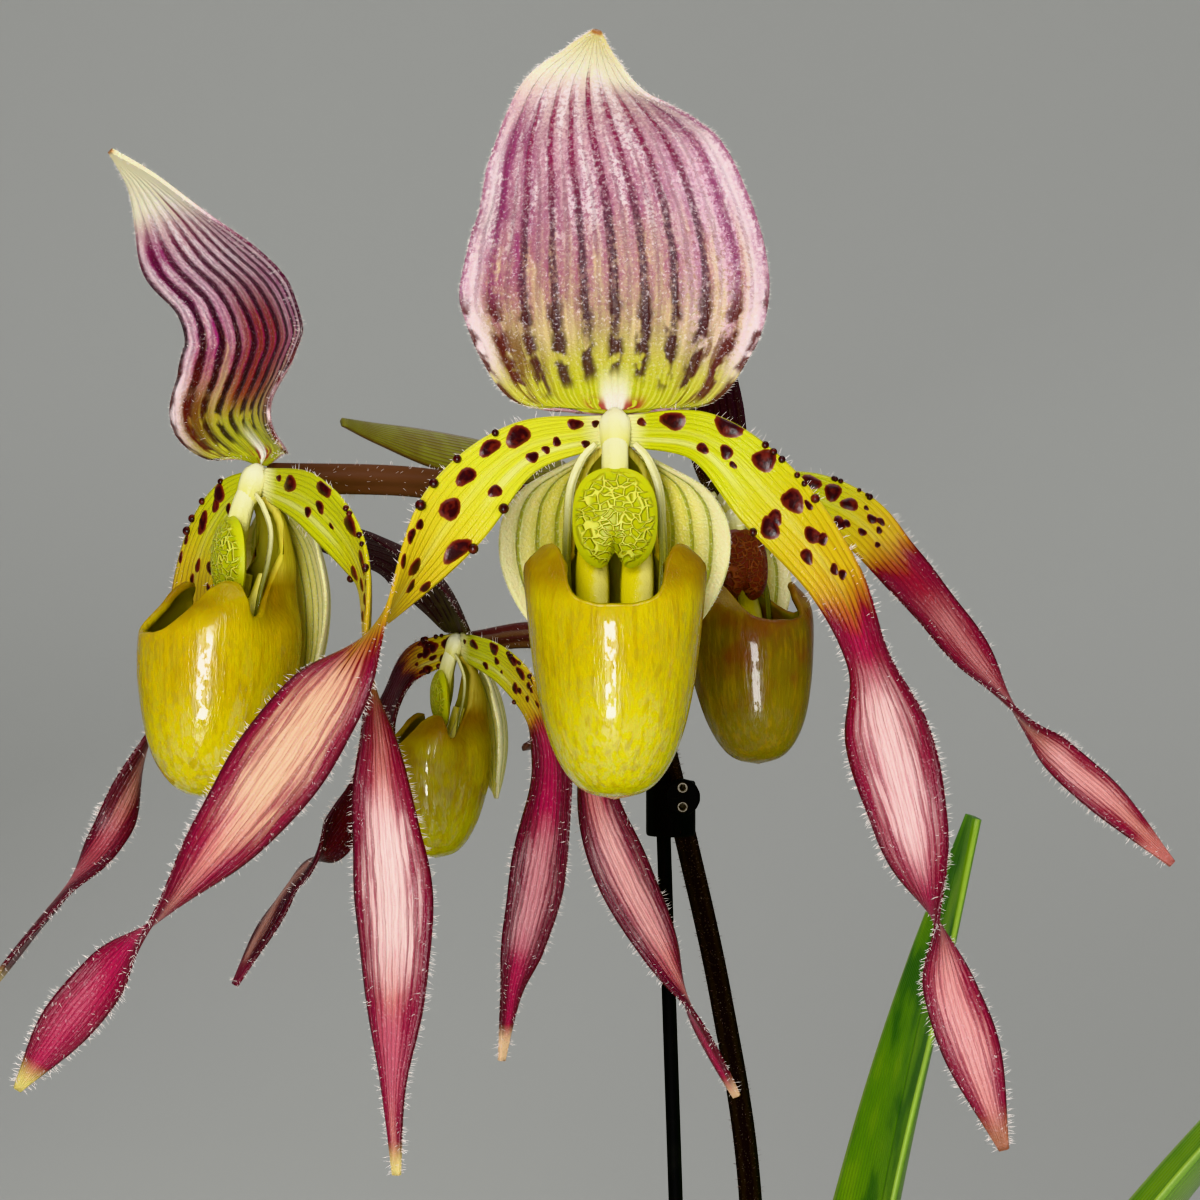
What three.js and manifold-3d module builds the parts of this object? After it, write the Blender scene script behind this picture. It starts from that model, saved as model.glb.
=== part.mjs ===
// A staked slipper orchid in flower: four open blooms on one stem, two leaf fans and a plain round pot.
// Millimetres, +Z up. The origin is the centre of the pot's base, and the first bloom faces -Y.
import * as THREE from 'three';
import Module from 'manifold-3d';
import { mergeVertices } from 'three/addons/utils/BufferGeometryUtils.js';

// Driving dimensions.
const gap = 0.3; // clearance between pieces that touch
const pot = { base: 47, top: 63, rim: 66, rimDrop: 12, height: 120, wall: 2, floor: 3 };
const medium = { level: 113, relief: 4, chips: 70, rings: 8 };
const potSides = 36;
const stake = { radius: 1.1, foot: [-4, -26, 14], head: [-14.4, -4.4, 340] };
const crown = { radius: 5.5, sunk: 9, height: 26 };
const firstCrown = [0, 0];
const secondCrown = [-14, 34];
const clip = { x: -12.9, y: -2.2, halfWidth: 3.9, halfDepth: 5.4, low: 329.5, height: 8.5 };
const knob = { x: -11.2, y: -6.6, z: 335.8, radius: 2.8, thick: 3.6, eyes: 1.5, eyeRadius: 0.6 };
const petalThickness = 0.8;
const leafThickness = 1.5;
const pouchWall = 0.8;
const dorsalSeat = 2; // height of the upper sepal's base above the column's
const swayLift = 1.6; // further lift of an upper sepal that sways fully to its side
const ovary = { head: 2.7, middle: 2.3, foot: 1.5 };

// The flower stem: x, y, z, radius.
const stemRoute = [
  [0, 0, 142, 2.1], [0.4, 0, 180, 2.0], [0.6, 0, 225, 1.9], [-0.3, 0, 272, 1.8], [-5, 0, 304, 1.75],
  [-11.2, 0, 332, 1.75], [-14, -1, 344, 1.75], [-17, -3, 357, 1.7], [-20, -6, 366, 1.6],
  [-23.5, -9.5, 374, 1.5], [-27.5, -14, 381, 1.4],
];

const colours = {
  dorsal: 0xb56a92, petal: 0x9c2f55, sepal: 0xcfd08a, lip: 0xb5a012, column: 0xc9cf3a,
  ovary: 0x5a3a22, bract: 0x70702c, stem: 0x2a1418, leaf: 0x3f7a1e, crown: 0x86a04a,
  pot: 0x2b2c2e, bark: 0x5a3c26, stake: 0x17191a, clip: 0x1b1c1e,
};
const gloss = { lip: 0.25, column: 0.3, leaf: 0.35, pot: 0.4, clip: 0.35, stake: 0.4 };

const wasm = await Module();
wasm.setup();

/** A row of numbers at t from 0 to 1 on the smooth curve through all the rows. */
function smooth(rows, t) {
  const last = rows.length - 1;
  const place = Math.min(Math.max(t, 0), 1) * last;
  const i = Math.min(Math.floor(place), last - 1);
  const f = place - i;
  const [b, c] = [rows[i], rows[i + 1]];
  return b.map((value, k) => {
    const before = i > 0 ? rows[i - 1][k] : 2 * value - c[k];
    const after = i + 2 <= last ? rows[i + 2][k] : 2 * c[k] - value;
    const rise = (c[k] - before) / 2;
    const fall = (after - value) / 2;
    const bend = -3 * value + 3 * c[k] - 2 * rise - fall;
    return value + rise * f + bend * f * f + (2 * value - 2 * c[k] + rise + fall) * f * f * f;
  });
}

/** A geometry from points and the indexes of its triangles. */
function solid(points, triangles) {
  const geometry = new THREE.BufferGeometry();
  const flat = points.flatMap(p => [p.x, p.y, p.z]);
  geometry.setAttribute('position', new THREE.Float32BufferAttribute(flat, 3));
  geometry.setIndex(triangles);
  geometry.computeVertexNormals();
  return geometry;
}

/** The two triangles of a grid cell, always split along the same diagonal. */
function cell(a, b, c, d) {
  return [a, b, c, a, c, d];
}

/** Closes a grid of points that stands over another one: front and back, split alike, and a rim. */
function plate(front, back, along, across) {
  const triangles = [];
  const under = front.length;
  const at = (i, j) => i * (across + 1) + j;
  for (let i = 0; i < along; i++) {
    for (let j = 0; j < across; j++) {
      const corners = [at(i, j), at(i + 1, j), at(i + 1, j + 1), at(i, j + 1)];
      const [a, b, c, d] = corners.map(k => k + under);
      triangles.push(...cell(...corners), c, b, a, d, c, a);
    }
  }
  const edge = (p, q) => triangles.push(...cell(q, p, p + under, q + under));
  for (let i = 0; i < along; i++) {
    edge(at(i, 0), at(i + 1, 0));
    edge(at(i + 1, across), at(i, across));
  }
  for (let j = 0; j < across; j++) {
    edge(at(0, j + 1), at(0, j));
    edge(at(along, j), at(along, j + 1));
  }
  return solid([...front, ...back], triangles);
}

/**
 * A grown blade. Each station is x, y, z, half width, turn in degrees and cup, the distance that the
 * margins stand forward of the middle. At a turn of 0 the blade shows its front towards facing.
 */
function blade(stations, facing, { along, across, thickness, wave = 0, waves = 0 }) {
  const middle = t => new THREE.Vector3(...smooth(stations, t));
  const surface = (u, v) => {
    const [, , , half, turn, cup] = smooth(stations, u);
    const tangent = middle(Math.min(u + 0.01, 1)).sub(middle(Math.max(u - 0.01, 0))).normalize();
    const normal = facing.clone().addScaledVector(tangent, -facing.dot(tangent)).normalize();
    normal.applyAxisAngle(tangent, THREE.MathUtils.degToRad(turn));
    const side = new THREE.Vector3().crossVectors(normal, tangent);
    const ripple = wave * Math.sin(2 * Math.PI * waves * u + v) * Math.sin(Math.PI * u);
    return middle(u).addScaledVector(side, half * v).addScaledVector(normal, (cup + ripple) * v * v);
  };
  const front = [];
  const back = [];
  for (let i = 0; i <= along; i++) {
    for (let j = 0; j <= across; j++) {
      const u = i / along;
      const v = 2 * j / across - 1;
      const du = surface(Math.min(u + 0.01, 1), v).sub(surface(Math.max(u - 0.01, 0), v));
      const dv = surface(u, v + 0.05).sub(surface(u, v - 0.05));
      const normal = du.cross(dv).normalize().multiplyScalar(-thickness / 2);
      front.push(surface(u, v).sub(normal));
      back.push(surface(u, v).add(normal));
    }
  }
  return plate(front, back, along, across);
}

/** A round stalk. Each station is x, y, z and radius. */
function stalk(stations, { steps, sides, upright = new THREE.Vector3(0, 0, 1) }) {
  const points = [];
  const triangles = [];
  for (let i = 0; i <= steps; i++) {
    const t = i / steps;
    const [x, y, z, radius] = smooth(stations, t);
    const ahead = smooth(stations, Math.min(t + 0.01, 1));
    const behind = smooth(stations, Math.max(t - 0.01, 0));
    const tangent = new THREE.Vector3(...ahead).sub(new THREE.Vector3(...behind)).normalize();
    const side = new THREE.Vector3().crossVectors(tangent, upright).normalize();
    const up = new THREE.Vector3().crossVectors(side, tangent);
    for (let k = 0; k < sides; k++) {
      const angle = 2 * Math.PI * k / sides;
      points.push(new THREE.Vector3(x, y, z)
        .addScaledVector(side, radius * Math.cos(angle))
        .addScaledVector(up, radius * Math.sin(angle)));
    }
  }
  for (let i = 0; i < steps; i++) {
    for (let k = 0; k < sides; k++) {
      const next = (k + 1) % sides;
      triangles.push(...cell(i * sides + k, (i + 1) * sides + k, (i + 1) * sides + next, i * sides + next));
    }
  }
  for (let k = 1; k < sides - 1; k++) {
    triangles.push(0, k, k + 1);
    triangles.push(steps * sides, steps * sides + k + 1, steps * sides + k);
  }
  return solid(points, triangles);
}

/** A geometry as a solid that can be joined and cut. */
function toSolid(geometry) {
  const bare = geometry.index ? geometry.toNonIndexed() : geometry.clone();
  bare.deleteAttribute('normal');
  bare.deleteAttribute('uv');
  const merged = mergeVertices(bare, 1e-3);
  const vertProperties = new Float32Array(merged.attributes.position.array);
  const triVerts = new Uint32Array(merged.index.array);
  return new wasm.Manifold(new wasm.Mesh({ numProp: 3, vertProperties, triVerts }));
}

/** A joined or cut solid as a geometry. */
function fromSolid(body) {
  const mesh = body.getMesh();
  const geometry = new THREE.BufferGeometry();
  geometry.setAttribute('position', new THREE.Float32BufferAttribute(mesh.vertProperties, 3));
  geometry.setIndex([...mesh.triVerts]);
  geometry.computeVertexNormals();
  return geometry;
}

/** A named mesh with its own material. */
function piece(name, geometry, colour) {
  const material = new THREE.MeshStandardMaterial({
    color: colours[colour], roughness: gloss[colour] ?? 0.6, metalness: 0, flatShading: true,
  });
  const mesh = new THREE.Mesh(geometry, material);
  mesh.name = name;
  return mesh;
}

/** The same numbers on every run, from 0 to 1. */
function seededRandom(seed) {
  let state = seed;
  return () => {
    state = (state * 1664525 + 1013904223) % 4294967296;
    return state / 4294967296;
  };
}

// Blades of one bloom, in the bloom's own frame: it faces -Y, with its column at the origin.
const forward = new THREE.Vector3(0, -1, 0);

// The upper sepal's stations: the usual one, which leans forward at its top, and one that also bulges
// forward at its foot.
const archedHood = [
  [0, 0.2, 0, 1.9, 0, 0], [0, 1, 1.4, 12.8, 0, 1.4], [0, 2.6, 7, 18.4, 0, 3.8],
  [0, 3.2, 14.6, 20.7, 0, 5], [0, 1.6, 22, 20.2, 0, 4.8], [-0.3, -2.4, 29, 18, 0, 4],
  [-1.6, -8, 36, 14.2, 0, 3], [-2.4, -14, 41, 9, 0, 2], [-2.7, -18.5, 44.8, 3.8, 0, 0.8],
  [-2.4, -22, 47.4, 0.6, 0, 0],
];
const swayingHood = [
  [0, 0.2, 0, 1.9, 0, 0], [0, 0.4, 2.4, 14, 0, 2.5], [0, -3, 7.5, 20, 0, 4.5],
  [0, -0.5, 14, 22, 0, 4.5], [0, 1.2, 20, 24, 0, 4.5], [0, -2, 27, 23.5, 0, 4],
  [0, -8.2, 32.5, 22, 0, 3], [0, -13.6, 38, 15, 0, 2], [0, -19.2, 43, 6.5, 0, 0.8],
  [0, -24.7, 46.8, 0.6, 0, 0],
];

/** The hood-like upper sepal, which rises, leans forward and ends in a point. */
function dorsalSepal(stations) {
  return blade(stations, forward, { along: 10, across: 8, thickness: petalThickness, wave: 0.6, waves: 3 });
}

/** The broad pale lower sepal behind the lip. */
function lowerSepal() {
  const stations = [
    [0, 1.3, -3.35, 3, 0, 0], [0, 4.6, -6.6, 12, 0, 2.5], [0, 7.2, -11, 15.2, 0, 4.6],
    [0, 8.8, -18, 15.5, 0, 5], [0, 9, -25, 13, 0, 4.6], [0, 8, -31.5, 8, 0, 3], [0, 6.5, -37, 0.8, 0, 0],
  ];
  return blade(stations, forward, { along: 8, across: 6, thickness: petalThickness });
}

// The lip's wall from its toe to the top of its claw: z, half width in front, half width of the claw
// behind, half depth, middle y.
const pouchRows = [
  [-50, 0.01, 0.01, 0.01, -8.6], [-49, 3.9, 3.9, 4.3, -8.6], [-46.5, 6.6, 6.6, 7.3, -8.6],
  [-42, 8.8, 8.8, 9.9, -8.4], [-36, 10.3, 10.3, 11.7, -7.9], [-30, 11.2, 11.2, 12.8, -7.4],
  [-24, 11.9, 11.2, 12.8, -7], [-20, 12.3, 8.2, 11.6, -6], [-17, 12, 6.7, 10.4, -5],
  [-12.5, 10.5, 6.3, 6.8, -1.8], [-6, 7, 5, 3, 0], [-2.9, 4, 3, 1.3, -1.3],
];
// How far up those rows the rim reaches, every 15 degrees from the front: a low front, an ear, a claw.
const rimRows = [
  [5.95], [5.98], [6.35], [8], [8.2], [7.85], [6.5], [7.1], [10], [11], [11], [11], [11],
];
const clawFrom = 82;
const clawWhole = 112;

/** The pouch-shaped lip: a thin shell, open above, with an ear at each side and a claw at the back. */
function pouch() {
  const columns = 30;
  const rows = 9;
  const last = pouchRows.length - 1;
  const wall = (turn, reach) => {
    const away = Math.abs(((turn + 180) % 360) - 180);
    const rim = Math.min(smooth(rimRows, away / 180)[0], last);
    const [z, front, claw, depth, middle] = smooth(pouchRows, rim * reach / last);
    const width = THREE.MathUtils.lerp(front, claw, THREE.MathUtils.smoothstep(away, clawFrom, clawWhole));
    const angle = THREE.MathUtils.degToRad(turn);
    return new THREE.Vector3(width * Math.sin(angle), middle - depth * Math.cos(angle), z);
  };
  const inward = (turn, reach) => {
    const around = wall(turn + 4, reach).sub(wall(turn - 4, reach));
    const up = wall(turn, Math.min(reach + 0.02, 1)).sub(wall(turn, reach - 0.02));
    return up.cross(around).normalize().multiplyScalar(pouchWall);
  };
  const toe = wall(0, 0);
  const points = [toe, toe.clone().setZ(toe.z + pouchWall)];
  for (let i = 1; i <= rows; i++) {
    for (let k = 0; k < columns; k++) {
      const turn = 360 * k / columns;
      const outer = wall(turn, i / rows);
      points.push(outer, outer.clone().add(inward(turn, i / rows)));
    }
  }
  const triangles = [];
  const at = (i, k, inner) => 2 + 2 * ((i - 1) * columns + (k % columns)) + inner;
  for (let k = 0; k < columns; k++) {
    triangles.push(0, at(1, k + 1, 0), at(1, k, 0), 1, at(1, k, 1), at(1, k + 1, 1));
    for (let i = 1; i < rows; i++) {
      triangles.push(...cell(at(i, k, 0), at(i, k + 1, 0), at(i + 1, k + 1, 0), at(i + 1, k, 0)));
      triangles.push(...cell(at(i, k, 1), at(i + 1, k, 1), at(i + 1, k + 1, 1), at(i, k + 1, 1)));
    }
    triangles.push(...cell(at(rows, k, 0), at(rows, k + 1, 0), at(rows, k + 1, 1), at(rows, k, 1)));
  }
  return solid(points, triangles);
}

/** The column: a pale neck that carries a domed shield with a notch in its lower edge. */
function column() {
  const neck = stalk(
    [
      [0, 0.7, -0.1, 1.6], [0, -1.8, -1.5, 1.7], [0, -3.4, -4.8, 1.8],
      [0, -4.4, -9, 1.8], [0, -5, -13, 1.5],
    ],
    { steps: 5, sides: 8 },
  );
  const shield = {
    width: 5.8, height: 7, middle: -12.8, ahead: -5.4, edge: 0.3, dome: 2.2, back: 1.2,
    notch: 0.28, notchTurn: 14,
  };
  const sectors = 16;
  const rings = 2;
  const points = [new THREE.Vector3(0, shield.ahead - shield.dome, shield.middle)];
  points.push(new THREE.Vector3(0, shield.ahead + shield.back, shield.middle));
  for (let ring = 1; ring <= rings; ring++) {
    for (let k = 0; k < sectors; k++) {
      const angle = 2 * Math.PI * k / sectors;
      const fromNotch = (360 * k / sectors - 270) / shield.notchTurn;
      const reach = ring / rings * (1 - shield.notch * Math.exp(-fromNotch * fromNotch));
      const x = shield.width * reach * Math.cos(angle);
      const z = shield.middle + shield.height * reach * Math.sin(angle);
      const dome = 1 - (ring / rings) ** 2;
      points.push(new THREE.Vector3(x, shield.ahead - shield.edge - shield.dome * dome, z));
      points.push(new THREE.Vector3(x, shield.ahead + shield.edge + shield.back * dome, z));
    }
  }
  const triangles = [];
  const at = (ring, k, behind) => 2 + 2 * ((ring - 1) * sectors + (k % sectors)) + behind;
  for (let k = 0; k < sectors; k++) {
    triangles.push(0, at(1, k, 0), at(1, k + 1, 0), 1, at(1, k + 1, 1), at(1, k, 1));
    for (let ring = 1; ring < rings; ring++) {
      triangles.push(...cell(at(ring, k, 0), at(ring + 1, k, 0), at(ring + 1, k + 1, 0), at(ring, k + 1, 0)));
      triangles.push(...cell(at(ring, k, 1), at(ring, k + 1, 1), at(ring + 1, k + 1, 1), at(ring + 1, k, 1)));
    }
    triangles.push(...cell(at(rings, k, 0), at(rings, k, 1), at(rings, k + 1, 1), at(rings, k + 1, 0)));
  }
  return fromSolid(toSolid(neck).add(toSolid(solid(points, triangles))));
}

/**
 * One bloom. Its place and turns set its head, its petals hang in the plant's own directions from the
 * head, and its ovary runs back to a joint on the flower stem, with a bract beside it.
 */
function bloom(name, setting) {
  const { place, yaw, pitch, lean, sway, hoodStations, hood, size, petals } = setting;
  const { joint, bractSide, bractLift, bractRise, bractLength } = setting;
  const group = new THREE.Group();
  const head = new THREE.Group();
  const turn = new THREE.Euler(...[pitch, 0, yaw].map(THREE.MathUtils.degToRad), 'ZXY');
  head.position.set(...place);
  head.rotation.copy(turn);
  head.scale.setScalar(size);
  const upper = new THREE.Group();
  upper.rotation.x = THREE.MathUtils.degToRad(lean);
  upper.rotation.y = THREE.MathUtils.degToRad(sway);
  upper.scale.set(...hood);
  upper.position.z = dorsalSeat + swayLift * Math.abs(Math.sin(upper.rotation.y));
  upper.add(piece(name + '_dorsal_sepal', dorsalSepal(hoodStations), 'dorsal'));
  head.add(upper);
  head.add(piece(name + '_lower_sepal', lowerSepal(), 'sepal'));
  head.add(piece(name + '_lip', pouch(), 'lip'));
  head.add(piece(name + '_column', column(), 'column'));
  group.add(head);

  const facing = forward.clone().applyEuler(turn);
  const centre = new THREE.Vector3(...place);
  for (const side of ['left', 'right']) {
    const away = side === 'left' ? -1 : 1;
    const root = new THREE.Vector3(2.4 * away, 0.4, -0.4).multiplyScalar(size).applyEuler(turn);
    const stations = [[root.x, root.y, root.z, 1.4, 0, 0], ...petals[side]]
      .map(([x, y, z, half, twist, cup]) => [x + centre.x, y + centre.y, z + centre.z, half, twist, cup]);
    const petal = blade(stations, facing, {
      along: 18, across: 4, thickness: petalThickness, wave: 0.5, waves: 4,
    });
    group.add(piece(name + '_petal_' + side, petal, 'petal'));
  }

  const back = facing.clone().negate();
  const start = centre.clone().addScaledVector(back, (1.2 + gap) * size);
  const [endX, endY, endZ, stemRadius] = smooth(stemRoute, joint);
  const end = new THREE.Vector3(endX, endY, endZ);
  const span = start.distanceTo(end);
  const outward = start.clone().sub(end).normalize();
  const upStem = end.clone().sub(new THREE.Vector3(...smooth(stemRoute, joint - 0.01))).normalize();
  const slant = Math.abs(upStem.dot(outward));
  const straight = Math.sqrt(1 - slant * slant);
  const besideStem = (stemRadius + 1.5 * gap + ovary.foot * slant) / straight;
  const onStemTip = 1.5 * gap + stemRadius * straight;
  const clear = joint < 1 ? besideStem : onStemTip;
  const foot = end.clone().addScaledVector(outward, clear);
  const bend = start.clone().addScaledVector(back, span * 0.3);
  const middle = bend.clone().lerp(foot, 0.5);
  const ovaryStations = [
    [...start, ovary.head * size], [...bend, ovary.middle],
    [...middle, ovary.middle - 0.1], [...foot, ovary.foot],
  ];
  group.add(piece(name + '_ovary', stalk(ovaryStations, { steps: 8, sides: 8 }), 'ovary'));

  const above = new THREE.Vector3(0, 0, bractSide);
  const lift = t => above.clone().multiplyScalar(ovary.middle + bractLift + t * t * bractRise);
  const bractStations = [[0.02, 1.6], [0.3, 3.6], [0.6, 3.4], [0.85, 1.8], [1, 0.6]].map(([t, half]) => {
    const spot = foot.clone().addScaledVector(outward, bractLength * t).add(lift(t));
    return [...spot, half, 0, -0.9 * half / 3.6];
  });
  const bractFacing = new THREE.Vector3(0, -1, bractSide * bractRise / 8).normalize();
  const bract = blade(bractStations, bractFacing, { along: 6, across: 4, thickness: petalThickness });
  group.add(piece(name + '_bract', bract, 'bract'));
  return group;
}

// The petals' stations, from the bloom's centre: x, y, z, half width, turn and cup.
const frontPetals = {
  right: [
    [12, -5, -2, 3.4, 0, 0.4], [20.5, -8, -10, 4.9, 5, 0.5], [29, -12, -21, 3.9, 20, 0.3],
    [33, -14, -31, 3.4, 45, 0.3], [35.5, -16, -41, 5.8, 20, 0.9], [38.5, -17, -53, 4.8, 10, 0.6],
    [41.5, -18, -65, 3.0, 90, 0.2], [43.5, -18, -74, 3.6, 165, 0.5], [46.5, -18, -83, 3.6, 185, 0.5],
    [50.5, -17, -95, 0.7, 200, 0],
  ],
  left: [
    [-12.5, -5, -3.5, 3.6, 0, 0.4], [-21, -9, -12, 5.0, -10, 0.5], [-30.5, -14, -26, 3.4, -90, 0.2],
    [-37.5, -18, -36, 5.2, -165, 0.7], [-43.5, -20, -45, 6.0, -185, 0.9], [-50.5, -21, -54.5, 4.6, -195, 0.5],
    [-59.5, -22, -65, 2.8, -270, 0.2], [-65.5, -21, -72, 3.3, -345, 0.5], [-71.5, -20, -79, 3.2, -365, 0.4],
    [-77.5, -18, -87, 0.6, -380, 0],
  ],
};
const sidePetals = {
  right: [
    [8.4, -10.8, -4, 4, 0, 0.4], [15, -17, -12.6, 4.6, 10, 0.4], [15.8, -16.2, -25.8, 4.0, 30, 0.2],
    [17, -16.5, -35.8, 3.4, 70, 0.2], [18, -16.5, -46.8, 4.4, 120, 0.5], [19, -16.5, -57.8, 5.6, 140, 0.8],
    [19, -16, -69.8, 4.6, 145, 0.5], [19, -16, -81.2, 2.0, 150, 0.2], [19.5, -16, -93.4, 0.6, 150, 0],
  ],
  left: [
    [-6, 7, -4.2, 4.0, 0, 0.4], [-10, 11.5, -11.4, 4.8, -10, 0.5], [-12, 14, -23, 3.8, -30, 0.2],
    [-16, 14, -31.8, 3.4, 0, 0.3], [-19, 13, -40.8, 3.4, 40, 0.4], [-23, 11, -50.3, 2.6, 130, 0.2],
    [-28, 10, -56.8, 3.6, 200, 0.5], [-34, 9, -64.3, 3.4, 215, 0.4], [-41, 8, -73.8, 0.6, 220, 0],
  ],
};
const lowPetals = {
  left: [
    [-7.6, 6, -3.5, 3.0, 0, 0.4], [-11.4, 8.7, -10.6, 3.8, -10, 0.4], [-13.7, 10, -20.4, 3.0, -60, 0.2],
    [-17.7, 8, -27.2, 3.0, -100, 0.2], [-21.2, 4, -31.8, 3.2, -150, 0.3], [-25.7, 4, -36.4, 3.8, -175, 0.6],
    [-29.7, 3, -42.8, 3.0, -190, 0.4], [-34.2, 2, -51.6, 0.6, -200, 0],
  ],
  right: [
    [6.6, -9.8, -3.2, 3, 0, 0.4], [11.6, -16.2, -9, 3.8, -10, 0.4], [13.8, -17, -16.4, 4.0, -20, 0.3],
    [13.3, -18, -25.4, 4.4, -40, 0.6], [11.8, -17, -34.4, 4.2, -50, 0.6], [9.6, -15, -43.6, 3.2, -70, 0.4],
    [7.8, -13, -51, 1.8, -100, 0.2], [6.4, -12, -61, 0.6, -120, 0],
  ],
};
const farPetals = {
  right: [
    [10.6, -4, 0.8, 3.4, 0, 0.4], [18.6, -6, -2.7, 4.0, 10, 0.4], [24.6, -7.5, -9.2, 3.6, 20, 0.3],
    [30.3, -8.5, -16.2, 3.9, -10, 0.6], [36, -9.5, -24, 3.5, -20, 0.5], [42.5, -10, -31.6, 2.4, -70, 0.2],
    [48.1, -10, -37.4, 2.6, -150, 0.3], [55.8, -10, -44.2, 2.8, -180, 0.4], [64.1, -10, -52.6, 0.6, -190, 0],
  ],
  left: [
    [-6.6, -6.4, -4.6, 2.8, 0, 0.4], [-11, -10, -11, 4.0, -10, 0.4], [-15.4, -11, -20.7, 3.4, -60, 0.2],
    [-19, -9, -33.7, 3.0, -90, 0.2], [-18.5, -5, -44.7, 3.4, -130, 0.3], [-14.5, -2, -55.5, 4.2, -165, 0.6],
    [-9, -1, -66.2, 3.2, -190, 0.4], [-4, 0, -76.7, 2.0, -260, 0.2], [1.8, 0, -87.6, 0.6, -300, 0],
  ],
};
const blooms = {
  front_bloom: {
    place: [-22, -75, 390], yaw: 0, pitch: 0, size: 1, lean: 0, sway: 0,
    hoodStations: archedHood, hood: [1, 1, 1],
    petals: frontPetals, joint: 0.87, bractSide: -1, bractLift: 0.6, bractRise: 8, bractLength: 24,
  },
  side_bloom: {
    place: [-70.6, -65, 383.2], yaw: -61, pitch: 0, size: 0.88, lean: 0, sway: 0,
    hoodStations: swayingHood, hood: [1, 1.02, 1.02],
    petals: sidePetals, joint: 1, bractSide: 1, bractLift: 3, bractRise: 3.5, bractLength: 50,
  },
  low_bloom: {
    place: [-44.8, -25, 360], yaw: -74, pitch: 3, size: 0.64, lean: 34, sway: 0,
    hoodStations: archedHood, hood: [1, 1, 1],
    petals: lowPetals, joint: 0.6, bractSide: -1, bractLift: 1.3, bractRise: 8, bractLength: 26,
  },
  far_bloom: {
    place: [-5.7, -35, 381], yaw: 27, pitch: -5, size: 0.78, lean: -6, sway: -6,
    hoodStations: archedHood, hood: [0.32, 0.6, 0.66],
    petals: farPetals, joint: 0.7, bractSide: -1, bractLift: 1.2, bractRise: 8, bractLength: 24,
  },
};

/** A strap leaf that rises from its crown and arches over, as a blade in one upright plane. */
function leaf({ from, azimuth, base, lift, length, leans, half, turn = 0 }) {
  const outward = new THREE.Vector3(1, 0, 0).applyAxisAngle(new THREE.Vector3(0, 0, 1),
    THREE.MathUtils.degToRad(azimuth));
  const widths = [0.45, 0.62, 0.8, 0.93, 1, 0.99, 0.93, 0.8, 0.56, 0.16];
  const cups = [5, 5.5, 6, 6, 5.5, 5, 4, 3, 1.5, 0.3];
  const last = widths.length - 1;
  let reach = base;
  let height = lift;
  const stations = widths.map((width, i) => {
    const spot = [from[0] + outward.x * reach, from[1] + outward.y * reach, height];
    const lean = THREE.MathUtils.degToRad(leans[0] + (leans[1] - leans[0]) * (i + 0.5) / last);
    reach += Math.sin(lean) * length / last;
    height += Math.cos(lean) * length / last;
    return [...spot, half * width, turn * Math.min(1, i / 3), cups[i] * half / 19];
  });
  const facing = outward.clone().negate().add(new THREE.Vector3(0, 0, 1)).normalize();
  return blade(stations, facing, { along: 12, across: 4, thickness: leafThickness, wave: 0.5, waves: 2 });
}

const leaves = [
  { from: firstCrown, azimuth: -9, base: 6.8, lift: 120, length: 215, leans: [0, 15], half: 19, turn: 18 },
  { from: firstCrown, azimuth: 171, base: 6.8, lift: 124, length: 150, leans: [4, 40], half: 18 },
  { from: firstCrown, azimuth: -11, base: 9, lift: 118, length: 250, leans: [3.5, 53], half: 20 },
  { from: firstCrown, azimuth: 169, base: 8.5, lift: 120, length: 225, leans: [16, 96], half: 20 },
  { from: firstCrown, azimuth: -7, base: 11.4, lift: 117, length: 190, leans: [36, 112], half: 18 },
  { from: firstCrown, azimuth: 173, base: 10.6, lift: 118, length: 175, leans: [48, 118], half: 17 },
  { from: secondCrown, azimuth: 22, base: 6.8, lift: 122, length: 150, leans: [6, 56], half: 14 },
  { from: secondCrown, azimuth: 157, base: 6.8, lift: 119, length: 140, leans: [12, 66], half: 14 },
  { from: secondCrown, azimuth: 26, base: 8.6, lift: 116, length: 120, leans: [36, 104], half: 13 },
  { from: secondCrown, azimuth: 153, base: 8.8, lift: 116, length: 112, leans: [44, 108], half: 13 },
];

/** The short stem that a fan of leaves grows on. It stands in its hole in the bark. */
function fanCrown([x, y], extra) {
  const { radius, sunk, height } = crown;
  const bottom = medium.level - sunk - extra;
  const top = medium.level + height;
  const middle = medium.level + height / 2;
  return stalk(
    [[x, y, bottom, radius - 0.5 + extra], [x, y, medium.level, radius + extra],
      [x, y, middle, radius - 0.6 + extra], [x, y, top, radius - 2.6 + extra]],
    { steps: 6, sides: 12, upright: forward },
  );
}

/** The pot's inner radius at a height. */
function potInside(height) {
  const share = (height - pot.floor) / (pot.height - pot.floor);
  return pot.base - pot.wall + (pot.top - pot.base) * share;
}

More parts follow.
